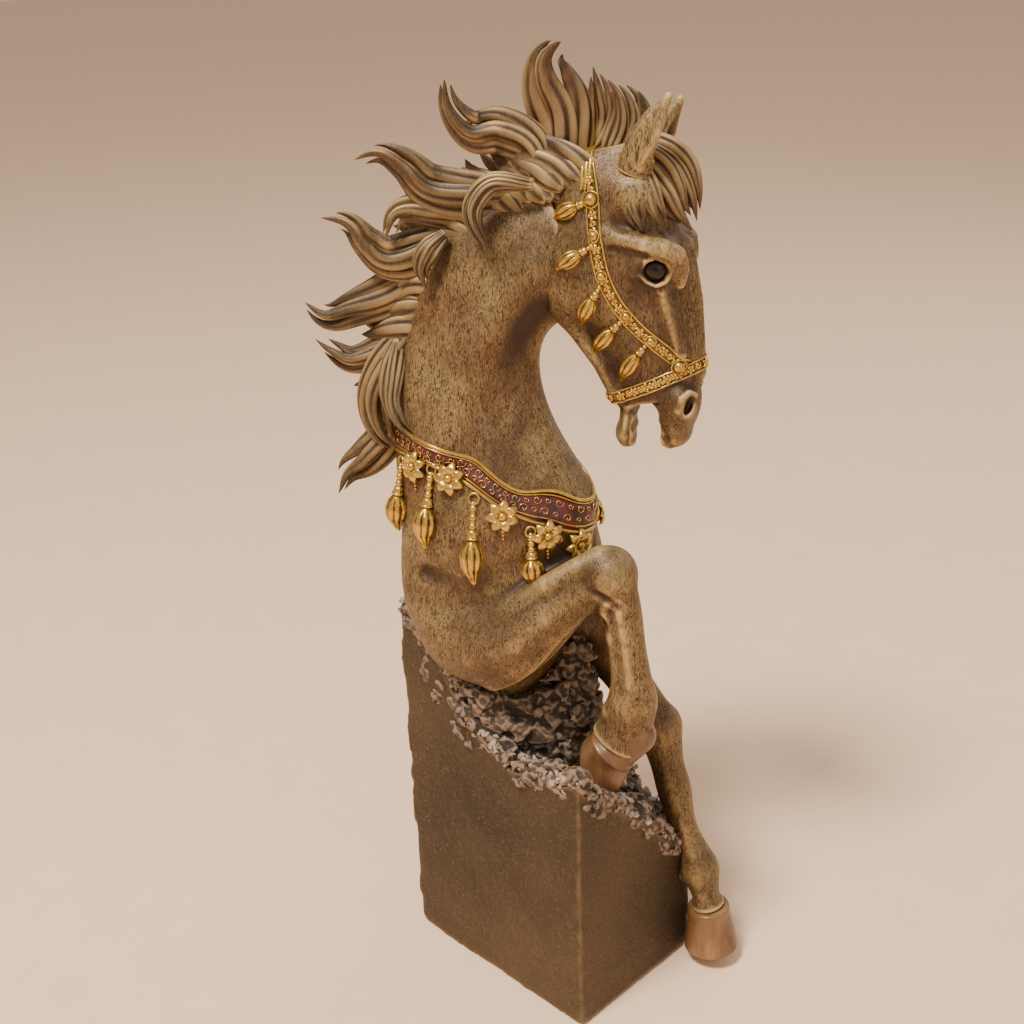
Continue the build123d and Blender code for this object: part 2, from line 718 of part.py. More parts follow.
pieces = {
    "felt_sheet": felt_sheet,
    "plinth_base_plate": plinth_base_plate,
    "plinth_shell": plinth_shell,
    "rock_bed": rock_bed,
    "near_rim_stones": near_rim_stones,
    "front_rim_stones": front_rim_stones,
    "far_rim_stones": far_rim_stones,
    "back_rim_stones": back_rim_stones,
    "pocket_stones": pocket_stones,
    "locating_dowels": locating_dowels,
    "torso": torso,
    "neck": neck,
    "head": head,
    "lower_jaw": lower_jaw,
    "left_ear": left_ear,
    "right_ear": right_ear,
    "left_eye": left_eye,
    "right_eye": right_eye,
    "right_foreleg": right_foreleg,
    "right_hoof": right_hoof,
    "left_foreleg": left_foreleg,
    "left_hoof": left_hoof,
    "mane_crest": mane_crest,
    **mane_groups,
    "right_cheek_strap": right_cheek_strap,
    "left_cheek_strap": left_cheek_strap,
    "crown_strap": crown_strap,
    "noseband": noseband,
    "right_bridle_studs": right_bridle_studs,
    "left_bridle_studs": left_bridle_studs,
    "right_bridle_tassels": right_bridle_tassels,
    "left_bridle_tassels": left_bridle_tassels,
    "collar_band": collar_band,
    "collar_upper_piping": collar_upper_piping,
    "collar_lower_piping": collar_lower_piping,
    "collar_flowers": collar_flowers,
    "right_collar_beads": right_collar_beads,
    "left_collar_beads": left_collar_beads,
    "right_collar_tassels": right_collar_tassels,
    "left_collar_tassels": left_collar_tassels,
}

os.makedirs("parts", exist_ok=True)
for name, piece in pieces.items():
    piece.part.label = name
    export_step(piece.part, f"parts/{name}.step")
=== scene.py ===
import math

import bmesh
import bpy
import numpy as np
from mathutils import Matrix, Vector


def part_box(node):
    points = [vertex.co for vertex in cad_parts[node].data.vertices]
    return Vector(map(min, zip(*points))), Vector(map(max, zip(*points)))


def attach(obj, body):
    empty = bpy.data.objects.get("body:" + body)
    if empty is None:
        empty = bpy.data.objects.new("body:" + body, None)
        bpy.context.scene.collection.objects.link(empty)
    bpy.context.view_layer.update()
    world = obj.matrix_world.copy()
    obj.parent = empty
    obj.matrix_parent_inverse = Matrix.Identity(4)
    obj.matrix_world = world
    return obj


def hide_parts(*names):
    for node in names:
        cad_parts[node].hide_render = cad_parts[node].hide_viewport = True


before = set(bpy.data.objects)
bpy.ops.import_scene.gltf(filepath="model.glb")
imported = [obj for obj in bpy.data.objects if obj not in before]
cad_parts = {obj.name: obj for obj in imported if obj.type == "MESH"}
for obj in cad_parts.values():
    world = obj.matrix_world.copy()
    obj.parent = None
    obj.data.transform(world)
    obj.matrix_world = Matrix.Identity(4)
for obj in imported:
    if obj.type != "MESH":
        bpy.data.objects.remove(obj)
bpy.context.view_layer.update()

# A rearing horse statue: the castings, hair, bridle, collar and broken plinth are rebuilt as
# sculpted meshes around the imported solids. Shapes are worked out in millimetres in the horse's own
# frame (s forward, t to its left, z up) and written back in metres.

import openvdb as vdb
from mathutils import Matrix, Vector
from mathutils.bvhtree import BVHTree

RNG = np.random.default_rng(11)

MM = 1000.0
SIDEWAYS = np.array([0.0, 1.0, 0.0])
GOLDEN = 0.618034
CELL_CORNERS = [np.array([corner & 1, corner >> 1 & 1, corner >> 2 & 1]) for corner in range(8)]
SIDES = {"right": -1, "left": 1}  # each side's name and the sign of t on it


# ---- the horse's frame, read from where its two eyes are


def box_centre(node):
    low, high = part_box(node)
    return np.array((low + high) / 2) * MM


def corners_of(points):
    return points.min(0), points.max(0)


LEFT = box_centre("left_eye") - box_centre("right_eye")
LEFT /= np.linalg.norm(LEFT)
UP = np.array([0.0, 0.0, 1.0])
FORWARD = np.cross(LEFT, UP)
AXES = np.array([FORWARD, LEFT, UP])


def to_horse(points):
    """World points in metres to (s, t, z) in millimetres."""
    return np.asarray(points, float) * MM @ AXES.T


def to_world(points):
    """(s, t, z) in millimetres to world points in metres."""
    return np.asarray(points, float) @ AXES / MM


def node_mesh(name):
    """A CAD node's points in the horse's frame and its triangles, with split points joined."""
    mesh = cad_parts[name].data
    mesh.calc_loop_triangles()
    points = np.empty(len(mesh.vertices) * 3)
    mesh.vertices.foreach_get("co", points)
    triangles = np.empty(len(mesh.loop_triangles) * 3, np.int32)
    mesh.loop_triangles.foreach_get("vertices", triangles)
    points = to_horse(points.reshape(-1, 3))
    _, first, joined = np.unique(
        np.round(points, 3), axis=0, return_index=True, return_inverse=True)
    return points[first], joined.reshape(-1)[triangles].reshape(-1, 3)


def solids_of(name):
    """The points of each separate solid in a node."""
    points, triangles = node_mesh(name)
    label = np.arange(len(points))
    while True:
        least = label[triangles].min(axis=1)
        previous = label.copy()
        for corner in range(3):
            np.minimum.at(label, triangles[:, corner], least)
        label = label[label]
        if (label == previous).all():
            break
    return [points[label == value] for value in np.unique(label)]


# ---- lines and directions


def unit(vectors):
    vectors = np.asarray(vectors, float)
    return vectors / (np.linalg.norm(vectors, axis=-1, keepdims=True) + 1e-9)


def tangents(line, closed=False):
    """Unit directions along a line, or round a closed one."""
    return unit(np.roll(line, -1, 0) - np.roll(line, 1, 0) if closed else np.gradient(line, axis=0))


def smoothed(values, times, closed=False):
    """Values averaged with their neighbours, a number of times."""
    values = np.array(values, float)
    for _ in range(times):
        if closed:
            values = (np.roll(values, 1, 0) + 2 * values + np.roll(values, -1, 0)) / 4
        else:
            values[1:-1] = (values[:-2] + 2 * values[1:-1] + values[2:]) / 4
    return values


def circle(normal, columns, hint=(0.37, 0.21, 0.9)):
    """Directions to evenly spaced points of a unit circle square to normal."""
    side = unit(np.cross(normal, hint))
    angle = np.linspace(0, 2 * math.pi, columns, endpoint=False)
    return side * np.cos(angle)[:, None] + np.cross(normal, side) * np.sin(angle)[:, None]


# ---- solid modelling on a grid of distances


class Clay:
    """Distances to a surface on a regular grid, negative inside, shaped by adding and carving."""

    BAND = 7

    def __init__(self, low, high, step):
        self.step = step
        self.first = np.floor(np.asarray(low, float) / step).astype(int)
        self.size = np.ceil(np.asarray(high, float) / step).astype(int) - self.first + 1
        self.far = self.BAND * step
        self.values = np.full(self.size, self.far, np.float32)

    def window(self, low, high):
        """Slices and coordinates of the part of the grid between two corners."""
        start = np.maximum(np.floor(np.asarray(low) / self.step).astype(int) - self.first, 0)
        stop = np.minimum(np.ceil(np.asarray(high) / self.step).astype(int) - self.first + 1, self.size)
        if (stop <= start).any():
            return None, None
        axes = [
            ((np.arange(a, b) + f) * self.step).astype(np.float32)
            for a, b, f in zip(start, stop, self.first)]
        cut = tuple(slice(a, b) for a, b in zip(start, stop))
        return cut, np.meshgrid(*axes, indexing="ij", sparse=True)

    def polygons(self, points, triangles):
        """Distances to a closed mesh over the whole grid."""
        grid = vdb.FloatGrid.createLevelSetFromPolygons(
            np.ascontiguousarray(points, np.float32),
            triangles=np.ascontiguousarray(triangles, np.uint32),
            transform=vdb.createLinearTransform(self.step), halfWidth=self.BAND)
        values = np.empty(self.size, np.float32)
        grid.copyToArray(values, ijk=tuple(int(v) for v in self.first))
        return values

    def add_node(self, name, blend=0.0):
        self.values = smooth_min(self.values, self.polygons(*node_mesh(name)), blend)

    def shape(self, distance, low, high, blend=1.5, carve=False):
        """Adds or carves a form given by a distance function, between two corners."""
        margin = 3 * blend + 2 * self.step
        cut, grid = self.window(np.asarray(low) - margin, np.asarray(high) + margin)
        if cut is None:
            return
        form = distance(*grid)
        if carve:
            self.values[cut] = -smooth_min(-self.values[cut], form, blend)
        else:
            self.values[cut] = smooth_min(self.values[cut], form, blend)

    def ball(self, centre, radii, blend=1.5, carve=False, turn=(0, 0, 0)):
        """Ellipsoid with radii along s, t, z, turned by degrees about s, t, z."""
        radii = np.broadcast_to(np.asarray(radii, float), 3)
        spin = turned(turn)
        reach = float(max(radii))

        def distance(s, t, z):
            d = (s - centre[0], t - centre[1], z - centre[2])
            local = [spin[0][i] * d[0] + spin[1][i] * d[1] + spin[2][i] * d[2] for i in range(3)]
            far = np.sqrt(sum((v / r) ** 2 for v, r in zip(local, radii))) + 1e-6
            slope = np.sqrt(sum((v / r ** 2) ** 2 for v, r in zip(local, radii))) + 1e-6
            return far * (far - 1) / slope

        self.shape(distance, np.asarray(centre) - reach, np.asarray(centre) + reach, blend, carve)

    def rope(self, points, radii, blend=1.5, carve=False):
        """Round-ended chain of tapered rods through points, both sides of the chain alike."""
        points = np.asarray(points, float)
        radii = np.broadcast_to(np.asarray(radii, float), len(points))
        reach = radii.max()

        def distance(s, t, z):
            best = None
            for a, b, ra, rb in zip(points[:-1], points[1:], radii[:-1], radii[1:]):
                axis = b - a
                d = (s - a[0], t - a[1], z - a[2])
                along = (d[0] * axis[0] + d[1] * axis[1] + d[2] * axis[2]) / (axis @ axis)
                along = np.clip(along, 0, 1)
                gap = np.sqrt(sum((v - along * x) ** 2 for v,
                                  x in zip(d, axis))) - (ra + (rb - ra) * along)
                best = gap if best is None else np.minimum(best, gap)
            return best

        self.shape(distance, points.min(0) - reach, points.max(0) + reach, blend, carve)

    def both(self, method, *args, **options):
        """The same form on the horse's two sides, which differ only in the sign of t."""
        for side in (-1, 1):
            mirrored = [flip(args[0], side), *args[1:]]
            extra = dict(options)
            if "turn" in extra:
                a, b, c = extra["turn"]
                extra["turn"] = (a * side, b, c * side)
            getattr(self, method)(*mirrored, **extra)

    def soften(self, times=1):
        v = self.values
        for _ in range(times):
            for axis in range(3):
                v = (np.roll(v, 1, axis) + 2 * v + np.roll(v, -1, axis)) / 4
        self.values = v

    def mesh(self):
        """The surface as points in the horse's frame and quads."""
        grid = vdb.FloatGrid(self.far)
        grid.transform = vdb.createLinearTransform(self.step)
        grid.copyFromArray(np.ascontiguousarray(np.clip(self.values, -self.far, self.far)),
                           ijk=tuple(int(v) for v in self.first))
        points, quads = grid.convertToQuads(0.0)
        return points.astype(float), facing_out(points, quads)


def facing_out(points, faces):
    """The faces of one closed shape, all turned over if they enclose it from the inside."""
    longest = max(map(len, faces))
    corners = np.asarray(points, float)[[[*face, *[face[-1]] * (longest - len(face))] for face in faces]]
    volume = 0.0
    for step in range(1, longest - 1):
        volume += (np.cross(corners[:, step], corners[:, step + 1]) * corners[:, 0]).sum()
    return faces if volume >= 0 else [face[::-1] for face in faces]


def smooth_min(a, b, blend):
    if blend <= 0:
        return np.minimum(a, b)
    h = np.clip(0.5 + 0.5 * (b - a) / blend, 0, 1)
    return b + (a - b) * h - blend * h * (1 - h)


def turned(degrees):
    """Rotation matrix for turns about s, t and z in that order."""
    matrix = Matrix.Identity(3)
    for angle, axis in zip(degrees, "XYZ"):
        matrix = Matrix.Rotation(math.radians(angle), 3, axis) @ matrix
    return np.array(matrix)


def flip(points, side):
    return np.asarray(points, float) * np.array([1.0, side, 1.0])


# ---- how sheltered each place is


def box_blur(values, reach):
    """Running mean over a cube of 2 * reach + 1 cells, axis by axis."""
    for axis in range(3):
        padding = [(0, 0)] * 3
        padding[axis] = (reach + 1, reach)
        total = np.cumsum(np.pad(values, padding, mode="edge"), axis=axis)
        width = 2 * reach + 1
        high = np.take(total, range(width, total.shape[axis]), axis=axis)
        low = np.take(total, range(0, total.shape[axis] - width), axis=axis)
        values = (high - low) / width
    return values


class Shelter:
    """Share of empty space round any place, near 0.5 on flat ground, less in hollows."""

    STEP = 2.0
    MARGIN = 40

    def __init__(self):
        corners = np.array([to_horse(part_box(node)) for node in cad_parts])
        clay = Clay(corners.min((0, 1)) - self.MARGIN, corners.max((0, 1)) + self.MARGIN, self.STEP)
        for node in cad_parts:
            clay.add_node(node)
        solid = np.clip(0.5 - clay.values / self.STEP, 0, 1).astype(float)
        self.first = clay.first
        self.open = 1 - box_blur(box_blur(solid, 4), 3)

    def at(self, points):
        place = points / self.STEP - self.first
        base = np.clip(np.floor(place).astype(int), 0, np.array(self.open.shape) - 2)
        part = place - base
        total = 0.0
        for step in CELL_CORNERS:
            weight = np.prod(np.where(step, part, 1 - part), axis=1)
            total = total + weight * self.open[tuple((base + step).T)]
        return total


shelter = Shelter()

# Spots darkened with painted shade, partly brown washes: the place (s, t, z), on both sides, its reach
# and its depth.
WASH_AND_SHADE_SPOTS = [
    ((50, 15.5, 325), 7.0, 0.60),
    ((42, 17, 326), 5.5, 0.25),
    ((61, 9.5, 271), 6.5, 0.50),
    ((46, 8, 262), 8.0, 0.26),
    ((33, 13, 285), 8.0, 0.16),
    ((4, 15, 309), 9.0, 0.36),
    ((-1, 18, 298), 10.0, 0.42),
    ((-4, 22, 285), 9.0, 0.28),
    ((-17, 17, 344), 9.0, 0.20),
    ((-66, 6, 288), 22.0, 0.22),
    ((-55, 28, 192), 11.0, 0.16),
    ((-44, 26, 214), 9.0, 0.16),
    ((-5, 32, 160), 12.0, 0.20),
    ((37, 28, 203), 8.0, 0.14),
    ((50, 11, 114), 10.0, 0.26),
    ((68, 2, 46), 6.0, 0.16),
]


def openness(points):
    """Shelter at each point, lowered at the listed spots to paint shade there, partly as dark washes."""
    value = shelter.at(points)
    for place, reach, depth in WASH_AND_SHADE_SPOTS:
        away = np.linalg.norm(np.abs(points * (0, 1, 0)) + points * (1, 0, 1) - place, axis=1)
        value = value - depth * np.exp(-(away / reach) ** 2)
    return value


# ---- finished pieces


# Relief stored on every piece: its name, rounds of smoothing, and height in edge lengths.
RELIEFS = (("fine", 3, 0.20), ("broad", 36, 2.0))


def store_relief(mesh, points):
    """Stores how far each point stands above (over 0.5) or below its surroundings, fine and broad."""
    edges = np.empty(len(mesh.edges) * 2, np.int32)
    mesh.edges.foreach_get("vertices", edges)
    edges = edges.reshape(-1, 2)
    normals = np.empty(len(mesh.vertices) * 3)
    mesh.vertices.foreach_get("normal", normals)
    normals = normals.reshape(-1, 3) @ AXES.T
    points = np.asarray(points, float)
    count = np.bincount(edges.ravel(), minlength=len(points))[:, None] + 1.0
    settled = points
    step = np.linalg.norm(points[edges[:, 0]] - points[edges[:, 1]], axis=1).mean()
    done = 0
    for label, rounds, height in RELIEFS:
        while done < rounds:
            total = settled.copy()
            for axis in range(3):
                for here, there in (edges.T, edges.T[::-1]):
                    total[:, axis] += np.bincount(here, settled[there, axis], minlength=len(points))
            settled = total / count
            done += 1
        proud = ((points - settled) * normals).sum(1)
        value = np.clip(0.5 + 0.5 * proud / (height * max(step, 0.25)), 0, 1)
        layer = mesh.attributes.new(label, "FLOAT", "POINT")
        layer.data.foreach_set("value", value.astype(np.float32))
    # Openness, used by the paints for painted shade in sheltered places and painted light on open ones.
    layer = mesh.attributes.new("open", "FLOAT", "POINT")
    layer.data.foreach_set("value", openness(points + normals).astype(np.float32))


def make_piece(name, points, faces, material, replaces, smooth=True):
    """A mesh from points in the horse's frame, hung under the root in place of the nodes it replaces."""
    mesh = bpy.data.meshes.new(name)
    mesh.from_pydata(to_world(points).tolist(), [], [list(map(int, face)) for face in faces])
    mesh.update()
    mesh.polygons.foreach_set("use_smooth", np.full(len(mesh.polygons), smooth))
    store_relief(mesh, points)
    piece = bpy.data.objects.new(name, mesh)
    bpy.context.scene.collection.objects.link(piece)
    mesh.materials.append(material)
    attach(piece, "root")
    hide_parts(*replaces)


def clay_piece(name, clay, material, replaces):
    make_piece(name, *clay.mesh(), material, replaces)


class Shapes:
    """Closed meshes gathered into one piece."""

    def __init__(self):
        self.points = []
        self.faces = []
        self.count = 0

    def add(self, points, faces):
        points = np.asarray(points, float).reshape(-1, 3)
        faces = facing_out(points - points.mean(0), faces)
        self.points.append(points)
        self.faces.extend([[index + self.count for index in face] for face in faces])
        self.count += len(points)

    def piece(self, name, material, replaces, smooth=True):
        make_piece(name, np.concatenate(self.points), self.faces, material, replaces, smooth)


def rings_to_mesh(rings, closed=False):
    """Points and faces of a tube through rings of equal length, closed in a loop or fanned shut."""
    rings = np.asarray(rings, float)
    rows, columns = rings.shape[:2]
    points, faces = rings.reshape(-1, 3), []
    for row in range(rows if closed else rows - 1):
        here, below = row * columns, (row + 1) % rows * columns
        for column in range(columns):
            right = (column + 1) % columns
            faces.append([here + column, here + right, below + right, below + column])
    if closed:
        return points, faces
    first, last = rows * columns, rows * columns + 1
    for column in range(columns):
        right = (column + 1) % columns
        faces.append([first, right, column])
        faces.append([last, last - 1 - columns + column, last - 1 - columns + right])
    return np.concatenate([points, [rings[0].mean(0)], [rings[-1].mean(0)]]), faces


CURVE_STEPS = 24  # points worked out between two given ones


def smooth_line(points, count):
    """count points evenly along a smooth curve through the given ones, which may have extra columns."""
    points = np.asarray(points, float)
    padded = np.concatenate([[2 * points[0] - points[1]], points, [2 * points[-1] - points[-2]]])
    samples = []
    for a, b, c, d in zip(padded[:-3], padded[1:-2], padded[2:-1], padded[3:]):
        for t in np.linspace(0, 1, CURVE_STEPS, endpoint=False):
            samples.append(0.5 * (
                2 * b + (c - a) * t + (2 * a - 5 * b + 4 * c - d) * t ** 2
                + (3 * b - a - 3 * c + d) * t ** 3))
    samples.append(points[-1])
    samples = np.array(samples)
    steps = np.linalg.norm(np.diff(samples[:, :3], axis=0), axis=1)
    distance = np.concatenate([[0], np.cumsum(steps)])
    wanted = np.linspace(0, distance[-1], count)
    return np.stack([np.interp(wanted, distance, column) for column in samples.T], axis=1)


def frames_along(line):
    """Two unit normals along a line, the first kept as near to sideways as it can be."""
    tangent = tangents(line)
    flat = unit(SIDEWAYS - (SIDEWAYS * tangent).sum(1)[:, None] * tangent)
    return flat, np.cross(tangent, flat)


def hair_lock(shapes, line, width, thickness, ridges, twist, phase=0.0, rows=44, columns=40, root=0.62):
    """Flame-shaped lock: a tapering tube with grooves that run and wind along its length."""
    line = smooth_line(line, rows)
    flat, across = frames_along(line)
    along = np.linspace(0, 1, rows)
    swell = np.where(along < 0.3, root + (1 - root) * np.sin(along / 0.3 * math.pi / 2), 0)
    swell = np.where(along >= 0.3, np.cos((along - 0.3) / 0.7 * math.pi / 2) ** 0.8, swell)
    swell = np.maximum(swell, 0.03)
    angle = np.linspace(0, 2 * math.pi, columns, endpoint=False)
    rings = []
    for row in range(rows):
        turn = angle + twist * along[row] * math.pi
        depth = 0.26 * min(1, 1.3 - along[row])
        wave = np.abs(np.sin(ridges * turn / 2 + phase)) ** 0.8
        scale = 1 - depth * (1 - wave)
        x = np.cos(angle) * scale * swell[row] * width / 2
        y = np.sin(angle) * scale * swell[row] * thickness / 2
        rings.append(line[row] + across[row] * x[:, None] + flat[row] * y[:, None])
    shapes.add(*rings_to_mesh(rings))


# ---- noise


PRIMES = (73856093, 19349663, 83492791)


def lattice_noise(points, scale, seed):
    """Smooth noise from -1 to 1 at points, with features about scale millimetres across."""
    p = np.asarray(points, float) / scale
    cell = np.floor(p).astype(np.int64)
    f = p - cell
    f = f * f * (3 - 2 * f)
    total = np.zeros(p.shape[:-1])
    for step in CELL_CORNERS:
        key = seed * 2654435761
        for axis, prime in enumerate(PRIMES):
            key = key ^ (cell[..., axis] + step[axis]) * prime
        key = (key ^ (key >> 13)) * 1274126177 & 0xFFFFFFFF
        value = (key & 0xFFFF) / 32767.5 - 1
        weight = np.prod(np.where(step, f, 1 - f), axis=-1)
        total += value * weight
    return total


def grid_points(clay):
    axes = [(np.arange(n) + f) * clay.step for n, f in zip(clay.size, clay.first)]
    return np.stack(np.meshgrid(*axes, indexing="ij"), axis=-1)


# ---- sculpted castings


def node_clay(name, step, margin):
    """A grid round one CAD node, filled with that node."""
    low, high = corners_of(node_mesh(name)[0])
    clay = Clay(low - margin, high + margin, step)
    clay.add_node(name)
    return clay


def sculpt_body():
    """Torso with both forelegs, from the collar down."""
    clay = Clay((-68, -46, 20), (90, 46, 264), 0.8)
    clay.add_node("torso")
    clay.both("ball", (-20, -23, 213), (21, 11.5, 30), blend=5)
    clay.both("ball", (11, -11, 192), (12, 11, 20), blend=6)
    clay.both("ball", (-40, -14, 190), (17, 15, 34), blend=6)
    clay.add_node("left_foreleg", blend=7)
    clay.add_node("right_foreleg", blend=7)
    # The bent right forearm: elbow mass, long muscles that meet at the knee, and hollows between.
    clay.ball((-26, -21, 171), (20, 14.5, 21), blend=7, turn=(0, 30, 0))
    clay.rope([(-6, -33, 188), (10, -34, 202), (22, -31.5, 210), (30, -28, 214)], [4, 4, 3.6, 3], blend=4)
    clay.rope([(-20, -34, 168), (-2, -38, 178), (10, -37, 190), (22, -33, 200)], [6, 5.5, 4.5, 3],
              blend=5)
    clay.rope([(-14, -30, 155), (2, -32, 166), (14, -31, 181), (24, -29, 193)], [5, 5, 3.6, 2.4], blend=4)
    clay.rope([(-42, -29, 200), (-26, -37, 196), (-8, -37, 204), (6, -31, 213)],
              [1.5, 2.4, 2.6, 1.6], blend=6, carve=True)
    # Right knee, tendons and fetlock.
    clay.ball((33, -26, 206), (9, 8.6, 7.5), blend=2)
    clay.ball((39.5, -26, 203), (4.5, 6.5, 8), blend=2)
    clay.ball((27.5, -26.5, 209.5), (4.6, 6.4, 4.2), blend=1.5, turn=(0, 25, 0))
    clay.rope([(30, -32, 211), (36, -33, 208), (40, -32, 202)], [1.8, 2.2, 1.8], blend=1.5)
    clay.rope([(26, -33.6, 204), (32, -34.6, 200), (38, -33.6, 195)], [0.4, 0.6, 0.4], blend=3,
              carve=True)
    clay.rope([(31.5, -25, 192), (35.5, -24.5, 176), (37.5, -24, 156)], [2.6, 2.4, 2.6], blend=2.5)
    # Hollow under the forearm, up to the bend of the knee.
    clay.rope([(28, -31, 183), (21, -31, 174), (14, -31, 163), (5, -31, 152), (-8, -30, 142)],
              [5, 7.5, 8.5, 9, 8], blend=3, carve=True)
    clay.rope([(35, -33.6, 192), (37, -32.6, 172), (38.5, -33, 154)], [0.7, 0.9, 0.7], blend=4,
              carve=True)
    clay.ball((42.5, -24, 147), (9, 9, 8.5), blend=4)
    clay.ball((34, -24, 141), (4.2, 5, 4.6), blend=3)
    # The reaching left leg: forearm muscle, knee, tendon and fetlock.
    clay.rope([(4, 22, 182), (20, 22, 158), (34, 18, 136)], [8, 7, 4], blend=5)
    clay.ball((48.5, 11, 113), (9, 8.5, 10.5), blend=3, turn=(0, 28, 0))
    clay.rope([(46.5, 9.5, 99), (53, 6, 76), (61, 3, 56)], [3, 3, 3.4], blend=2.5)
    clay.ball((68.5, 1.8, 46), (7.6, 8, 8), blend=3)
    clay.ball((62.5, 1.8, 42.5), (3.6, 4, 3.6), blend=2.5)
    # Hollow down the middle of the chest.
    clay.rope([(24, 0, 216), (19, 0, 196), (10, 0, 176)], [2.2, 2.6, 1.5], blend=5, carve=True)
    clay.soften(2)
    return clay


SUNK_IN_HEAD = 1.2


def sculpt_neck():
    """Neck from the collar to behind the cheeks."""
    clay = Clay((-68, -40, 206), (34, 40, 362), 0.8)
    clay.add_node("neck")
    clay.both("rope", [(2, -11, 322), (-16, -14.5, 298), (-28, -18, 272), (-36, -21, 250)],
              [6, 6, 6, 5], blend=10)
    clay.both("rope", [(4, -16, 296), (-2, -21, 276), (4, -25, 254), (13, -25, 232)],
              [1.5, 2.6, 2.6, 1.5], blend=9, carve=True)
    clay.values = np.maximum(clay.values, -(clay.polygons(*node_mesh("head")) + SUNK_IN_HEAD))
    clay.soften(2)
    return clay


def sculpt_head():
    """Head with cheeks, brows, eye sockets, nostrils and the open mouth."""
    clay = Clay((1, -26, 246), (70, 26, 376), 0.5)
    clay.add_node("head")
    clay.add_node("lower_jaw", blend=3)
    clay.both("ball", (20, -9, 323), (15, 9.6, 22), blend=4, turn=(0, 12, 0))
    clay.both("ball", (47.5, -11, 327), (11, 7.6, 9.5), blend=4)
    clay.ball((40, 0, 350), (12, 12, 15), blend=5)
    clay.both("rope", [(51, -13.6, 316), (55, -11.2, 303), (58, -9.2, 291)], [1.8, 1.7, 1.2], blend=5)
    clay.rope([(56, 0, 330), (60, 0, 310), (61.5, 0, 292), (62, 0, 282)], [5, 4.6, 4.4, 4.4], blend=3)
    clay.both("rope", [(57, -15.5, 316), (59, -13.6, 305), (60, -11.6, 294)], [0.8, 1.2, 0.8], blend=4,
              carve=True)
    clay.both("ball", (44, -17.5, 312), (5, 2.6, 8), blend=4, carve=True)
    clay.both("ball", (38, -17.5, 343), (5, 3, 6), blend=3.5, carve=True)
    # Brow, socket, lids.
    clay.both("rope", [(31, -15.5, 337.5), (38.7, -17.2, 335.8), (45.4, -18.2, 334.6), (52, -17.6, 333.2),
                       (56.6, -14.8, 330.4), (58.2, -12.4, 325), (58, -11.4, 319)],
              [1.6, 2.4, 2.9, 3.0, 2.7, 2.0, 1.0], blend=5)
    clay.both("ball", (49.4, -20, 325.2), (6.4, 4.6, 5.4), blend=1.4, carve=True)
    clay.both("rope", [(33, -18.4, 333), (39, -20.2, 331.6), (45.6, -20.8, 331)], [0.6, 1.3, 1.2],
              blend=2.2, carve=True)
    lid = [(43.8, -16.6, 324), (46, -18.5, 329), (49.8, -19, 330.8), (53.4, -17.6, 328.8),
           (55.2, -15.2, 325)]
    clay.both("rope", lid, [0.6, 0.9, 1.0, 0.9, 0.6], blend=1.4)
    low_lid = [(43.8, -16.6, 324), (46, -17.4, 320.8), (49.6, -17.6, 319.4), (53, -16.4, 320.8),
               (55.2, -15.2, 325)]
    clay.both("rope", low_lid, [0.4, 0.6, 0.6, 0.6, 0.4], blend=1.4)
    clay.both("rope", [(40, -17.6, 321), (45, -18.2, 316.6), (51, -17, 315.2)], [0.5, 0.8, 0.5],
              blend=1.4, carve=True)
    # Jaw line, the groove under it, and the crease at the throat.
    clay.both("rope", [(12, -8, 308), (19, -8, 298.5), (27, -7, 286), (33, -6, 273)], [4.4, 4, 3.4, 3],
              blend=4)
    clay.rope([(14, 0, 302), (22, 0, 290), (29, 0, 277)], [2.6, 2.6, 2], blend=3, carve=True)
    # Muzzle: nostrils with a raised rim, lips, chin.
    clay.both("ball", (58, -8.6, 271), (5.6, 4.4, 7), blend=3, turn=(0, -20, 0))
    nostril = [(57.6, -12, 270), (59, -12.4, 275), (61.6, -10.6, 277), (64, -7.6, 275)]
    clay.both("rope", nostril, [0.5, 0.8, 0.9, 0.6], blend=2.6)
    clay.both("ball", (61.6, -11, 271.6), (1.4, 2.6, 3.6), blend=1.4, carve=True, turn=(0, 20, 0))
    clay.ball((55.5, 0, 256), (5.8, 8.6, 4.6), blend=2.5, turn=(0, -20, 0))
    clay.both("rope", [(44, -8.6, 270), (49, -9.6, 263), (53, -9, 256.5)], [0.5, 0.8, 0.6], blend=1.6,
              carve=True)
    clay.both("rope", [(43, -9, 270.5), (46.5, -9.4, 262.5), (50, -8.6, 256), (53.5, -6, 252.8)],
              [1.3, 1.4, 1.4, 1.2], blend=1.2)
    clay.ball((35.8, 0, 256), (4.4, 7.4, 5), blend=2)
    clay.both("rope", [(39, 6, 268), (39.4, 7, 259), (38.4, 5, 252.5), (37.8, 0, 251)],
              [1.2, 1.3, 1.3, 1.2], blend=1.2)
    # The open mouth, between the chin and the upper lip.
    for height, reach in ((248, 5.9), (254, 6.0), (260, 5.9), (266, 5.0)):
        clay.rope([(44.6, -16, height), (44.6, 16, height)], [reach, reach], blend=0.8, carve=True)
    clay.both("rope", [(51.5, -8.4, 265), (51.8, -8.2, 259), (53, -7, 254.6)], [0.9, 1.2, 1.2], blend=1.0)
    for side_name in SIDES:
        low, high = corners_of(node_mesh(f"{side_name}_ear")[0])
        clay.ball((low[0] + 6, (low[1] + high[1]) / 2.1, low[2] - 5), (9, 5.5, 7), blend=6)
    for side_name in SIDES:
        clay.ball(box_centre(f"{side_name}_eye") @ AXES.T, 4.3, blend=0.0, carve=True)
    clay.soften(1)
    return clay


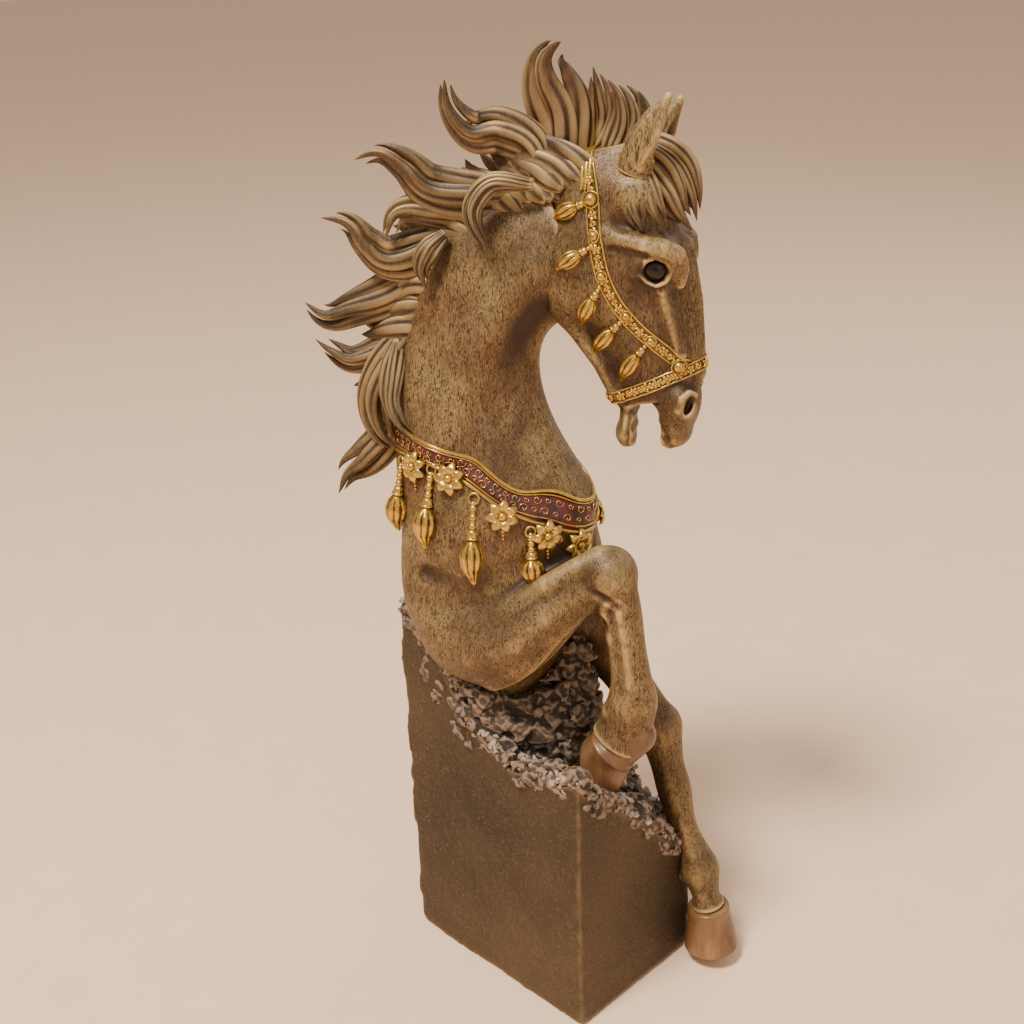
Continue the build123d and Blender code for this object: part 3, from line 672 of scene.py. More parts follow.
def sculpt_ear(node):
    """Leaf-shaped ear with a hollow on its outer front side."""
    points, _ = node_mesh(node)
    low, high = corners_of(points)
    clay = node_clay(node, 0.4, 4)
    side = math.copysign(1, low[1])
    tip = points[points[:, 2].argmax()]
    base = np.array([low[0] + 6, (low[1] + high[1]) / 2, low[2] + 4])
    hollow = base + (tip - base) * 0.45 + np.array([4.0, -side * 0.6, 0])
    lean = math.degrees(math.atan2(tip[0] - base[0], tip[2] - base[2]))
    clay.ball(hollow, (2.6, 3.4, 11), blend=1.0, carve=True, turn=(0, lean, 0))
    rim = [base + np.array([3.5, side * 3.4, 1]),
           base + (tip - base) * 0.5 + np.array([3.2, side * 3.2, 0]), tip]
    clay.rope(rim, [1.2, 1.3, 0.6], blend=2.5)
    clay.soften(2)
    return clay


def sculpt_hoof(node):
    """Standing hoof with a raised coronet band and faint growth rings."""
    low, high = corners_of(node_mesh(node)[0])
    clay = node_clay(node, 0.45, 3)
    clay.soften(4)
    grid = grid_points(clay)
    down = high[2] - grid[..., 2] + 0.15 * (grid[..., 0] - low[0])
    clay.values -= (0.35 * np.exp(-((down - 4.0) / 1.5) ** 2)).astype(np.float32)
    clay.values += (0.035 * np.sin(down * 2.1)).astype(np.float32)
    return clay


def sculpt_tucked_hoof():
    """The lifted hoof, folded back so that its sole faces the chest."""
    clay = Clay((12, -40, 90), (56, -10, 142), 0.45)
    clay.rope([(44, -25, 131), (35, -25, 121), (29, -25, 110)], [8.4, 8.6, 9.2], blend=2)
    clay.ball((29, -25, 114), (11, 9.8, 15.5), blend=3, turn=(0, 8, 0))
    clay.ball((33, -25, 122), (9.5, 9.9, 6), blend=2, turn=(0, 35, 0))
    clay.ball((11.5, -25, 112), (10, 14, 26), blend=0.8, carve=True)
    clay.ball((20.5, -25, 113), (2.4, 6.4, 9), blend=1.5, carve=True)
    grid = grid_points(clay)
    across = (grid[..., 0] - 40) * 0.62 + (grid[..., 2] - 122) * 0.78
    clay.values -= (0.7 * np.exp(-((across + 3.0) / 1.1) ** 2)).astype(np.float32)
    clay.soften(1)
    return clay


# ---- surfaces to lay things on


class Skin:
    """A sculpted surface that can be asked for the point and outward direction on a ray."""

    CLEAR = 90  # well outside the horse

    def __init__(self, *clays):
        points, faces = [], []
        for clay in clays:
            more, quads = clay.mesh()
            faces.extend((np.array(quads, int) + len(points)).tolist())
            points.extend(more.tolist())
        self.tree = BVHTree.FromPolygons(points, faces)

    def hit(self, start, direction):
        point, normal, _, _ = self.tree.ray_cast(Vector(start), Vector(direction), 200.0)
        if point is None:
            return None, None
        normal = np.array(normal)
        if normal @ np.asarray(direction) > 0:
            normal = -normal
        return np.array(point), normal

    def from_side(self, s, z, side):
        """Where a ray from one side meets the surface, and the outward direction there."""
        return self.hit((s, side * self.CLEAR, z), (0, -side, 0))

    def nearest(self, point):
        found, normal, _, _ = self.tree.find_nearest(Vector(point))
        outward = np.asarray(point) - np.array(found)
        normal = np.array(normal)
        if normal @ outward < 0:
            normal = -normal
        return np.array(found), normal

    def side_line(self, line, side, count):
        """Points and outward directions along a side line (s, z), on one side."""
        points, normals = [], []
        for s, z in smooth_line([(a, 0, b) for a, b in line], count)[:, [0, 2]]:
            point, normal = self.from_side(s, z, side)
            if point is not None:
                points.append(point)
                normals.append(normal)
        return np.array(points), smoothed(np.array(normals), 2)

    def loop(self, centre, height_at, count):
        """Closed loop round the horse at the height that height_at gives for each s."""
        points, normals = [], []
        for angle in np.linspace(0, 2 * math.pi, count, endpoint=False):
            outward = np.array([math.cos(angle), math.sin(angle), 0])
            z = height_at(centre[0])
            for _ in range(6):
                start = np.array([centre[0], centre[1], z]) + outward * 120
                point, normal = self.hit(start, -outward)
                if point is None:
                    break
                z = 0.4 * z + 0.6 * height_at(point[0])
            if point is not None:
                points.append(point)
                normals.append(normal)
        return np.array(points), np.array(normals)


def tube(shapes, line, radius, columns=8, closed=False, twist=0.0, lobes=0, lobe_depth=0.0):
    """Round or lobed tube along a line; twist turns its lobes like a cord's strands."""
    line = np.asarray(line, float)
    radius = np.broadcast_to(np.asarray(radius, float), len(line))
    tangent = tangents(line, closed)
    side = unit(np.cross(tangent, np.array([0.31, 0.83, 0.46])))
    other = np.cross(side, tangent)
    angle = np.linspace(0, 2 * math.pi, columns, endpoint=False)
    rings = []
    for row in range(len(line)):
        scale = 1 - lobe_depth * np.abs(np.sin(lobes / 2 * angle + twist * row))
        rings.append(line[row] + radius[row] * (
            side[row] * (np.cos(angle) * scale)[:, None] + other[row] * (np.sin(angle) * scale)[:, None]))
    shapes.add(*rings_to_mesh(rings, closed))


# A strap's section: shares of its width, and heights in its thickness or, below it, millimetres.
STRAP_TOP = [(-0.5, 0.6), (-0.42, 1), (-0.2, 1.08), (0, 1.1), (0.2, 1.08), (0.42, 1), (0.5, 0.6)]
STRAP_SINK = 0.6


def ribbon(shapes, line, normals, width, thick, closed=False):
    """Flat strap along a line on a surface, with rounded edges."""
    across = unit(np.cross(normals, tangents(line, closed)))
    profile = [(-0.5, -STRAP_SINK), *((x, thick * y) for x, y in STRAP_TOP), (0.5, -STRAP_SINK)]
    rings = [
        [point + a * x * width + n * y for x, y in profile]
        for point, a, n in zip(line, across, normals)]
    shapes.add(*rings_to_mesh(rings, closed))


def bead(shapes, centre, radius, normal=(0, 0, 1), flat=1.0, rows=7, columns=12):
    """Round or flattened bead, facing along normal."""
    normal = unit(normal)
    around = circle(normal, columns)
    shapes.add(*rings_to_mesh([
        np.asarray(centre) + radius * (normal * math.cos(polar) * flat + around * math.sin(polar))
        for polar in np.linspace(0.12, math.pi - 0.12, rows)]))


def ring(shapes, centre, normal, radius, thick, columns=18):
    """Small torus lying square to normal."""
    line = np.asarray(centre) + radius * circle(unit(normal), columns)
    tube(shapes, line, thick, columns=6, closed=True)


def scroll(shapes, centre, normal, heading, size, thick, hand=1):
    """Spiral curl in relief, opening along heading."""
    normal = unit(normal)
    forward = unit(heading - (heading @ normal) * normal)
    side = np.cross(normal, forward) * hand
    turn = np.linspace(0, 2.1 * math.pi, 18)
    reach = size * (0.16 + 0.84 * turn / turn[-1])
    line = np.asarray(centre) + (
        forward * (np.cos(turn) * reach)[:, None] + side * (np.sin(turn) * reach)[:, None])
    tube(shapes, line, np.linspace(thick * 1.2, thick * 0.7, len(turn)), columns=6)


def bud(shapes, start, end, radius, flutes=7, rows=26, columns=42):
    """Fluted bud hanging from a beaded neck, with its tip drawn out and curled."""
    start, end = np.asarray(start, float), np.asarray(end, float)
    length = np.linalg.norm(end - start)
    along = (end - start) / length
    around = circle(along, columns, (0.2, 0.5, 0.7))
    u = np.linspace(0, 1, rows)
    profile = np.interp(
        u, [0, 0.05, 0.12, 0.17, 0.22, 0.34, 0.5, 0.66, 0.8, 0.9, 0.97, 1],
        [0.3, 0.42, 0.42, 0.3, 0.5, 0.85, 1.0, 0.9, 0.6, 0.34, 0.22, 0.08])
    angle = np.linspace(0, 2 * math.pi, columns, endpoint=False)
    rings = []
    for row, value in enumerate(u):
        groove = 0.28 * min(1, max(0, (value - 0.2) * 5)) * (1 if value < 0.92 else 0.3)
        scale = 1 - groove * (1 - np.abs(np.sin(flutes / 2 * angle + 1.5 * value)) ** 0.6)
        bend = around[0] * (0.5 * radius * max(0, value - 0.75) * 3)
        rings.append(start + along * (value * length) + bend
                     + radius * profile[row] * scale[:, None] * around)
    shapes.add(*rings_to_mesh(rings))
    ring(shapes, start + along * length * 0.15, along, radius * 0.42, radius * 0.13, columns=14)


def flower(shapes, centre, normal, size, petals=5, spin=0.0):
    """Open flower with veined round petals about a beaded heart."""
    normal = unit(normal)
    up = unit(UP - normal[2] * normal)
    side = np.cross(up, normal)

    def spokes(count, spin):
        turns = [2 * math.pi * step / count + spin for step in range(count)]
        return [up * math.cos(turn) + side * math.sin(turn) for turn in turns]

    for away in spokes(petals, spin):
        tip = np.cross(normal, away)
        rings = []
        for value in np.linspace(0, 1, 9):
            wide = size * 0.31 * math.sin(math.pi * (0.12 + 0.86 * value)) ** 0.7
            lift = size * (0.10 + 0.22 * math.sin(math.pi * value))
            angle = np.linspace(0, 2 * math.pi, 14, endpoint=False)
            crease = 1 - 0.45 * np.exp(-((np.cos(angle)) / 0.25) ** 2) * (np.sin(angle) > 0)
            rings.append(
                centre + away * size * (0.18 + 0.82 * value) + normal * lift
                + tip * (np.cos(angle) * wide)[:, None]
                + normal * (np.sin(angle) * size * 0.16 * crease)[:, None])
        shapes.add(*rings_to_mesh(rings))
    bead(shapes, centre + normal * size * 0.32, size * 0.26, normal, 0.8)
    for away in spokes(8, 0):
        bead(shapes, centre + normal * size * 0.3 + away * size * 0.34, size * 0.07, normal, rows=5,
             columns=8)


# ---- materials


class Paint:
    """Node graph helper for one procedural paint."""

    def __init__(self, name):
        self.material = bpy.data.materials.new(name)
        self.material.use_nodes = True
        self.nodes = self.material.node_tree.nodes
        self.links = self.material.node_tree.links
        self.shader = self.nodes["Principled BSDF"]
        self.place = self.nodes.new("ShaderNodeTexCoord").outputs["Object"]

    def node(self, kind, output, inputs, **settings):
        """A new node's output, with its inputs linked from sockets or set to constants."""
        node = self.nodes.new(kind)
        for key, value in settings.items():
            setattr(node, key, value)
        for key, value in inputs.items():
            target = node.inputs[key]
            if isinstance(value, bpy.types.NodeSocket):
                self.links.new(value, target)
            else:
                target.default_value = (*value, 1) if target.type == "RGBA" else value
        return node.outputs[output]

    def noise(self, scale, detail=4.0, rough=0.55, stretch=None):
        place = self.place
        if stretch:
            place = self.node("ShaderNodeMapping", "Vector", {"Scale": stretch, "Vector": place})
        return self.node("ShaderNodeTexNoise", "Fac", {
            "Scale": scale, "Detail": detail, "Roughness": rough, "Vector": place})

    def ramp(self, value, stops):
        colour = self.node("ShaderNodeValToRGB", "Color", {"Fac": value})
        elements = colour.node.color_ramp.elements
        while len(elements) < len(stops):
            elements.new(0.5)
        for element, (position, shade) in zip(elements, stops):
            element.position = position
            element.color = (*(shade if isinstance(shade, tuple) else (shade,) * 3), 1)
        return colour

    def mix(self, amount, a, b):
        return self.node("ShaderNodeMix", 2, {0: amount, 6: a, 7: b}, data_type="RGBA")

    def times(self, a, b):
        return self.node("ShaderNodeMath", 0, {0: a, 1: b}, operation="MULTIPLY", use_clamp=True)

    def raised(self, label, low, high):
        """From 0 in hollows to 1 on raised forms, by the stored relief of that name."""
        relief = self.node("ShaderNodeAttribute", "Fac", {}, attribute_name=label)
        return self.ramp(relief, [(low, 0.0), (high, 1.0)])

    def sunk(self, label, low, high):
        """From 1 in hollows to 0 on raised forms."""
        return self.ramp(self.raised(label, low, high), [(0.0, 1.0), (1.0, 0.0)])

    def bump(self, height, distance, strength=1.0, under=None):
        inputs = {"Distance": distance, "Strength": strength, "Height": height}
        if under is not None:
            inputs["Normal"] = under
        return self.node("ShaderNodeBump", "Normal", inputs)

    def finish(self, colour, roughness, normal=None, metallic=0.0, coat=0.0):
        inputs = self.shader.inputs
        self.links.new(colour, inputs["Base Color"])
        self.links.new(roughness, inputs["Roughness"])
        if normal is not None:
            self.links.new(normal, inputs["Normal"])
        inputs["Metallic"].default_value = metallic
        inputs["Coat Weight"].default_value = coat
        return self.material


HAIR_STROKES = (1.0, 1.0, 0.26)
RUST = (0.30, 0.11, 0.035)


def bronze_paint(name, dark, middle, light, speckle, wash_and_shade, brush_and_highlight):
    """Antique bronze: dark washes with painted shade in hollows, pale dry-brushing with painted
    highlights on raised forms, fine dark strokes.
    """
    paint = Paint(name)
    patch = paint.noise(34, 4, 0.6)
    base = paint.mix(paint.ramp(patch, [(0.40, 0.0), (0.62, brush_and_highlight)]), middle, light)
    # Painted highlight, partly dry-brushing, on broad raised forms, and painted light on open places.
    base = paint.mix(paint.times(paint.raised("broad", 0.58, 1.0), brush_and_highlight), base, light)
    base = paint.mix(paint.times(paint.raised("open", 0.62, 0.90), brush_and_highlight * 0.7), base, light)
    rust = paint.ramp(paint.noise(22, 3, 0.55), [(0.48, 0.0), (0.66, 0.5)])
    base = paint.mix(rust, base, tuple(0.5 * a + 0.5 * b for a, b in zip(dark, RUST)))
    strokes = paint.noise(2300, 4, 0.75, HAIR_STROKES)
    coarse = paint.noise(720, 4, 0.7, HAIR_STROKES)
    dots = paint.ramp(strokes, [(0.48, 1.0), (0.58, 0.0)])
    clumps = paint.ramp(coarse, [(0.40, 1.0), (0.62, 0.40)])
    stained = paint.mix(paint.times(paint.times(dots, clumps), speckle), base, dark)
    broad = paint.ramp(paint.noise(16, 3, 0.5), [(0.30, 1.0), (0.52, 0.0)])
    washed_and_shaded = paint.mix(paint.times(broad, 0.35), stained, dark)
    # Painted shade in sheltered places and at the listed shade spots, partly dark washes.
    sheltered = paint.sunk("open", 0.26, 0.50)
    washed_and_shaded = paint.mix(paint.times(sheltered, wash_and_shade), washed_and_shaded, dark)
    # Painted shade, partly dark washes, in broad hollows and fine creases.
    low = paint.times(paint.sunk("broad", 0.05, 0.50), wash_and_shade)
    hollow = paint.mix(low, washed_and_shaded, dark)
    crease = paint.times(paint.sunk("fine", 0.1, 0.48), 0.85)
    creased = paint.mix(crease, hollow, dark)
    # Painted highlight, partly dry-brushing, on fine raised edges, kept out of painted shade.
    brushed_highlight = paint.times(paint.raised("fine", 0.62, 1.0), paint.ramp(patch, [(0.3, 0.4), (0.6, 0.9)]))
    unshaded = paint.raised("open", 0.22, 0.46)
    brushed_highlight = paint.times(brushed_highlight, unshaded)
    colour = paint.mix(brushed_highlight, creased, tuple(min(1, 1.3 * value) for value in light))
    rough = paint.ramp(strokes, [(0.3, 0.60), (0.7, 0.42)])
    normal = paint.bump(strokes, 0.00016, 0.6, paint.bump(coarse, 0.0003, 0.35))
    return paint.finish(colour, rough, normal, 0.25)


def gilt_paint(name, deep, bright, glint):
    """Bright gold paint with brown washes and painted shade left in the recesses, and a painted glint on
    raised edges.
    """
    paint = Paint(name)
    worn = paint.noise(260, 4, 0.6)
    gold = paint.mix(paint.ramp(worn, [(0.4, 0.0), (0.65, 1.0)]), deep, bright)
    # Painted shade, partly brown washes, in broad hollows and fine creases.
    low = paint.times(paint.sunk("broad", 0.10, 0.55), 0.92)
    washed_and_shaded = paint.mix(low, gold, (0.060, 0.026, 0.008))
    crease = paint.times(paint.sunk("fine", 0.12, 0.50), 0.92)
    colour = paint.mix(crease, washed_and_shaded, (0.055, 0.024, 0.008))
    # Painted highlight: the glint on fine raised edges.
    colour = paint.mix(paint.times(paint.raised("fine", 0.66, 1.0), 0.4), colour, glint)
    rough = paint.ramp(worn, [(0.35, 0.36), (0.7, 0.20)])
    normal = paint.bump(worn, 0.00015, 0.5)
    return paint.finish(colour, rough, normal, 0.85)


def plain_paint(name, noise, colours, roughness, bump, metallic=0.0, coat=0.0):
    """Paint whose colour, roughness and bump all follow one noise."""
    paint = Paint(name)
    grain = paint.noise(*noise)
    return paint.finish(
        paint.ramp(grain, colours), paint.ramp(grain, roughness), paint.bump(grain, *bump),
        metallic, coat)


def plinth_paint():
    """Sandy dark bronze with pale specks and rubbed edges."""
    paint = Paint("plinth_bronze")
    patch = paint.noise(16, 5, 0.6)
    base = paint.ramp(patch, [(0.3, (0.028, 0.016, 0.007)), (0.7, (0.072, 0.043, 0.019))])
    grain = paint.noise(900, 3, 0.7)
    gritty = paint.mix(paint.ramp(grain, [(0.60, 0.0), (0.72, 0.55)]), base, (0.30, 0.21, 0.115))
    pits = paint.mix(paint.ramp(grain, [(0.30, 0.6), (0.42, 0.0)]), gritty, (0.020, 0.012, 0.009))
    rubbed = paint.mix(paint.times(paint.raised("broad", 0.62, 0.95), 0.6), pits, (0.26, 0.175, 0.095))
    rough = paint.ramp(grain, [(0.3, 0.72), (0.7, 0.48)])
    coarse = paint.noise(340, 4, 0.65)
    normal = paint.bump(grain, 0.0004, 0.8, paint.bump(coarse, 0.0007, 0.8))
    warm = paint.ramp(paint.noise(7, 2, 0.5), [(0.35, 0.0), (0.7, 0.35)])
    return paint.finish(paint.mix(warm, rubbed, (0.145, 0.085, 0.040)), rough, normal, 0.35)


def rock_paint(name, scale, faces, crack, crack_shade, edge, lit, roughness, grain, bump):
    """Broken rock: painted shade, near black, in the cracks; pinkish cream on the broken faces; a painted
    highlight on the edges.
    """
    paint = Paint(name)
    patch = paint.noise(scale, 5, 0.65)
    # Painted shade in the cracks and broad hollows.
    shade = paint.mix(paint.raised("broad", *crack), crack_shade, paint.ramp(patch, faces))
    # Painted highlight on the broken edges.
    lit_edges = paint.mix(paint.times(paint.raised("fine", 0.62, 1.0), lit), shade, edge)
    normal = paint.bump(paint.noise(grain, 4, 0.7), *bump)
    return paint.finish(lit_edges, paint.ramp(patch, roughness), normal, 0.05)


def hoof_paint():
    """Brown horn, banded along its growth."""
    paint = Paint("hoof_brown")
    band = paint.noise(90, 4, 0.6, (1.0, 1.0, 0.25))
    colour = paint.ramp(
        band, [(0.3, (0.090, 0.038, 0.014)), (0.55, (0.20, 0.098, 0.038)), (0.75, (0.34, 0.20, 0.090))])
    # Painted shade: darker in the hoof's broad hollows.
    colour = paint.mix(paint.raised("broad", 0.15, 0.47), (0.09, 0.045, 0.02), colour)
    rough = paint.ramp(band, [(0.3, 0.46), (0.7, 0.32)])
    return paint.finish(colour, rough, paint.bump(band, 0.0002, 0.5), 0.1, 0.15)


def eye_glass():
    """Dark brown glass with a soft shine."""
    paint = Paint("glass_eye")
    pool = paint.noise(220, 3, 0.5)
    colour = paint.ramp(pool, [(0.35, (0.004, 0.003, 0.003)), (0.75, (0.035, 0.016, 0.008))])
    rough = paint.ramp(pool, [(0.3, 0.06), (0.7, 0.10)])
    paint.shader.inputs["Specular IOR Level"].default_value = 0.28
    return paint.finish(colour, rough, None, 0.0, 0.0)


BRONZE = bronze_paint(
    "horse_bronze", (0.030, 0.011, 0.004), (0.140, 0.072, 0.020), (0.50, 0.34, 0.14), 1.0, 1.0, 0.6)
HAIR = bronze_paint(
    "mane_bronze", (0.008, 0.003, 0.0015), (0.038, 0.016, 0.005), (0.36, 0.235, 0.10), 0.6, 0.9, 0.26)
GILT = gilt_paint("gilt", (0.30, 0.155, 0.022), (0.58, 0.35, 0.055), (0.88, 0.61, 0.19))
SHADED_GILT = gilt_paint("shaded_gilt", (0.070, 0.034, 0.010), (0.17, 0.09, 0.024), (0.34, 0.20, 0.055))
ENAMEL = plain_paint(
    "red_enamel", (180, 4, 0.6), [(0.3, (0.016, 0.003, 0.003)), (0.7, (0.130, 0.010, 0.008))],
    [(0.3, 0.50), (0.7, 0.36)], (0.0003, 0.6), 0.05, 0.2)
PLINTH = plinth_paint()
ROCK = rock_paint(
    "broken_rock", 150,
    [(0.32, (0.050, 0.030, 0.018)), (0.52, (0.145, 0.092, 0.058)), (0.72, (0.38, 0.27, 0.185))],
    (0.18, 0.52), (0.030, 0.020, 0.016), (0.56, 0.43, 0.32), 0.6,
    [(0.3, 0.8), (0.7, 0.55)], 700, (0.0004, 0.8))
# A darker copy of the rock paint, painted shade for the rock bed inside the plinth.
SHADED_ROCK = rock_paint(
    "shaded_rock", 90,
    [(0.32, (0.026, 0.015, 0.009)), (0.54, (0.090, 0.054, 0.032)), (0.76, (0.25, 0.165, 0.105))],
    (0.30, 0.62), (0.030, 0.019, 0.013), (0.40, 0.28, 0.19), 0.5,
    [(0.3, 0.85), (0.7, 0.6)], 420, (0.0006, 0.9))
HOOF = hoof_paint()
GLASS = eye_glass()
FELT = plain_paint(
    "felt", (1500, 4, 0.8), [(0.3, (0.020, 0.017, 0.014)), (0.7, (0.075, 0.062, 0.052))],
    [(0.3, 0.95), (0.7, 0.85)], (0.0005, 0.9))
STEEL = plain_paint(
    "steel_pin", (900, 3, 0.5, (1.0, 1.0, 6.0)), [(0.3, (0.35, 0.35, 0.36)), (0.7, (0.56, 0.56, 0.57))],
    [(0.3, 0.42), (0.7, 0.28)], (0.00005, 0.4), 1.0)


# ---- horse

body_clay = sculpt_body()
neck_clay = sculpt_neck()
head_clay = sculpt_head()
clay_piece("horse_body", body_clay, BRONZE, ["torso", "right_foreleg", "left_foreleg"])
clay_piece("horse_neck", neck_clay, BRONZE, ["neck"])
clay_piece("horse_head", head_clay, BRONZE, ["head", "lower_jaw"])
for side_name in SIDES:
    clay_piece(f"{side_name}_ear_leaf", sculpt_ear(f"{side_name}_ear"), BRONZE, [f"{side_name}_ear"])
clay_piece("right_hoof_wall", sculpt_tucked_hoof(), HOOF, ["right_hoof"])
clay_piece("left_hoof_wall", sculpt_hoof("left_hoof"), HOOF, ["left_hoof"])

for side_name, side in SIDES.items():
    eye_shape = Shapes()
    bead(eye_shape, box_centre(f"{side_name}_eye") @ AXES.T, 4.6, (0.25, side, 0.05), rows=26, columns=48)
    eye_shape.piece(f"{side_name}_eye_glass", GLASS, [f"{side_name}_eye"])

# ---- mane

# Each lock: the line of its spine (s, t, z), its width and thickness.
MANE_LOCKS = {
    "mane_lock_1": ([(14, 0, 358), (12, -1, 378), (8, -2, 390), (8, -3, 398), (14, -5, 404.5)], 17, 9),
    "mane_lock_2": (
        [(6, -3, 352), (1, -5, 367), (-10, -7, 373), (-20, -9, 373), (-27, -12, 382),
         (-28, -14, 393)], 12, 8),
    "mane_lock_3": (
        [(-2, -6, 350), (-24, -10, 350), (-37, -12, 353), (-45, -14, 361), (-54, -16, 366),
         (-63, -17, 363)], 13, 8),
    "mane_lock_4": (
        [(-26, -6, 336), (-43, -8, 327), (-55, -11, 325), (-63, -13, 331), (-69, -15, 339),
         (-79, -16, 341)], 13, 8),
    "mane_lock_5": ([(-16, -7, 341), (-36, -10, 344), (-49, -13, 343), (-54, -15, 333)], 10, 6),
    "mane_lock_6": ([(-42, -4, 320), (-57, -6, 310), (-72, -8, 304), (-83, -10, 301), (-91, -11, 307)],
                    13, 8),
    "mane_lock_7": ([(-50, -3, 296), (-64, -5, 286), (-75, -7, 282), (-83, -8, 286), (-89, -8, 291)],
                    10, 7),
    "mane_lock_8": ([(-48, -6, 296), (-60, -9, 281), (-65, -11, 267), (-63, -12, 254), (-56, -11, 246)],
                    12, 8),
    "mane_lock_9": ([(-55, -3, 266), (-63, -6, 250), (-72, -8, 240), (-80, -10, 234), (-84, -12, 225)],
                    12, 8),
}
NECK_CURLS = [
    ([(4, -15, 355), (-10, -18, 356), (-17, -20.5, 349), (-17, -21.5, 341), (-11, -21.5, 330)], 6, 4.5),
    ([(-31, -14, 336), (-36, -18, 331), (-39, -20, 324), (-37, -20.5, 316)], 6, 4.5),
    ([(-54, -9, 292), (-56, -14, 280), (-56, -18, 270), (-52, -21, 262), (-46, -23, 256)], 7, 4.5),
]
POLL_LOCKS = [
    ([(20, 2, 360), (26, 1, 374), (26, 0, 384), (23, 0, 394.5)], 9, 6),
    ([(29, -3, 362), (35, -3, 375), (34, -3, 384), (29, -3, 390.5)], 8, 5),
    ([(33, 4, 363), (40, 4, 373), (39, 4, 382), (34, 4, 387.5)], 7, 5),
    ([(22, 9, 358), (20, 11, 372), (14, 13, 382), (12, 14, 391.5)], 9, 6),
]
FAR_LOCKS = [
    ([(2, 7, 353), (-6, 10, 366), (-18, 13, 371), (-30, 15, 368), (-38, 16, 374)], 11, 7),
    ([(-20, 8, 342), (-35, 12, 345), (-48, 15, 347), (-58, 17, 355)], 11, 7),
    ([(-36, 8, 326), (-50, 12, 322), (-62, 15, 320), (-73, 17, 326)], 11, 7),
    ([(-48, 8, 304), (-60, 11, 298), (-72, 14, 293), (-80, 16, 297)], 10, 7),
    ([(-54, 7, 280), (-64, 10, 270), (-72, 13, 262), (-80, 14, 263)], 10, 7),
    ([(-56, 8, 262), (-64, 11, 250), (-68, 14, 240), (-66, 16, 230)], 10, 6),
]
FORELOCK = [
    ([(36, 0, 367), (46, -1, 366), (54, -2, 361), (59, -3, 352), (62.5, -4, 341)], 10, 7),
    ([(37, -4, 363), (45, -6, 360), (51, -7.5, 353), (56, -7.5, 345), (61.5, -6, 338.5)], 11, 6),
    ([(36, -8, 361), (43, -12, 355), (47.5, -14, 348), (51, -13.5, 341)], 9, 5),
    ([(37, 6, 364), (46, 7, 360), (53, 7, 352), (59, 6, 342)], 10, 6),
    ([(36, -10, 358), (40, -15, 351), (42, -16.5, 345), (44, -16.5, 339.5)], 7, 4),
]
CREST_LINE = [(-56, 0, 254), (-57, 0, 276), (-51, 0, 300), (-40, 0, 325), (-22, 0, 344), (2, 0, 355),
              (26, 0, 365)]


SPINE = 26  # points along the middle of a lock


def strands(shapes, line, width, thickness, phase, count=3):
    """A lock of hair: ridged strands side by side that part from one another near their tips."""
    dense = smooth_line(line, SPINE)
    flat, across = frames_along(dense)
    along = np.linspace(0, 1, SPINE)[:, None]
    for order in range(count):
        share = order / (count - 1) - 0.5
        spread = 0.35 + 0.65 * np.sin(math.pi * np.clip(along * 0.95 + 0.05, 0, 1)) ** 0.8
        offset = across * share * width * 0.80 * spread
        arch = flat * thickness * (0.5 - abs(share)) * 0.5 * math.copysign(1, dense[:, 1].mean() - 0.5)
        sway = across * width * 0.05 * np.sin(2 * math.pi * along * 1.2 + phase + 1.9 * order)
        reach = int(SPINE * (1 - 0.12 * ((0.37 + order * 0.618 + phase) % 1) * min(1, abs(share) * 4)))
        hair_lock(shapes, (dense + offset + arch + sway)[:reach], width * 0.66, thickness * 0.80,
                  ridges=5, twist=0.18, phase=phase + 1.1 * order, rows=46, columns=40, root=0.55)


for index, (name, (line, width, thickness)) in enumerate(MANE_LOCKS.items()):
    lock_shapes = Shapes()
    strands(lock_shapes, line, width, thickness, 0.7 * index)
    lock_shapes.piece(f"{name}_hair", HAIR, [name])

for name, locks in (("mane_neck_curls", NECK_CURLS), ("mane_poll_locks", POLL_LOCKS),
                    ("mane_far_locks", FAR_LOCKS), ("forelock", FORELOCK)):
    group = Shapes()
    for index, (line, width, thickness) in enumerate(locks):
        strands(group, line, width, thickness, 1.3 * index)
    group.piece(f"{name}_hair", HAIR, [name])

# Short locks that cover the crest and sweep back off it, dense enough to hide the neck's edge.
CREST_LOCKS = 84
crest_shapes = Shapes()
crest = smooth_line(CREST_LINE, 60)
crest_tangent = tangents(crest)
crest_back = np.cross(crest_tangent, SIDEWAYS)
crest_back *= np.sign((crest_back @ np.array([-0.8, 0, 0.6])))[:, None]
hair_lock(crest_shapes, CREST_LINE, 15, 14, ridges=9, twist=0.3, rows=90, columns=72, root=0.8)
for index in range(CREST_LOCKS):
    row = int(1 + (index * GOLDEN % 1.0) * 57)
    side = -1 if index % 3 else 1
    back, ahead = crest_back[row], crest_tangent[row]
    start = crest[row] - back * RNG.uniform(5, 11) + SIDEWAYS * side * RNG.uniform(8.5, 11.5) + ahead * 5
    middle = crest[row] + back * RNG.uniform(1, 3) + SIDEWAYS * side * RNG.uniform(6.5, 9) - ahead * 2
    sweep = RNG.uniform(9, 20)
    late = middle + back * RNG.uniform(5, 9) - ahead * sweep * 0.55 - SIDEWAYS * side * 2.0
    tip = late + back * RNG.uniform(4, 9) - ahead * sweep * RNG.uniform(0.05, 0.4) - SIDEWAYS * side * 1.0
    hair_lock(crest_shapes, [start, middle, late, tip], RNG.uniform(8, 11.5), RNG.uniform(4, 5.4),
              ridges=5, twist=0.2, phase=index, rows=28, columns=34, root=0.35)
crest_shapes.piece("mane_crest_hair", HAIR, ["mane_crest"])

# ---- bridle

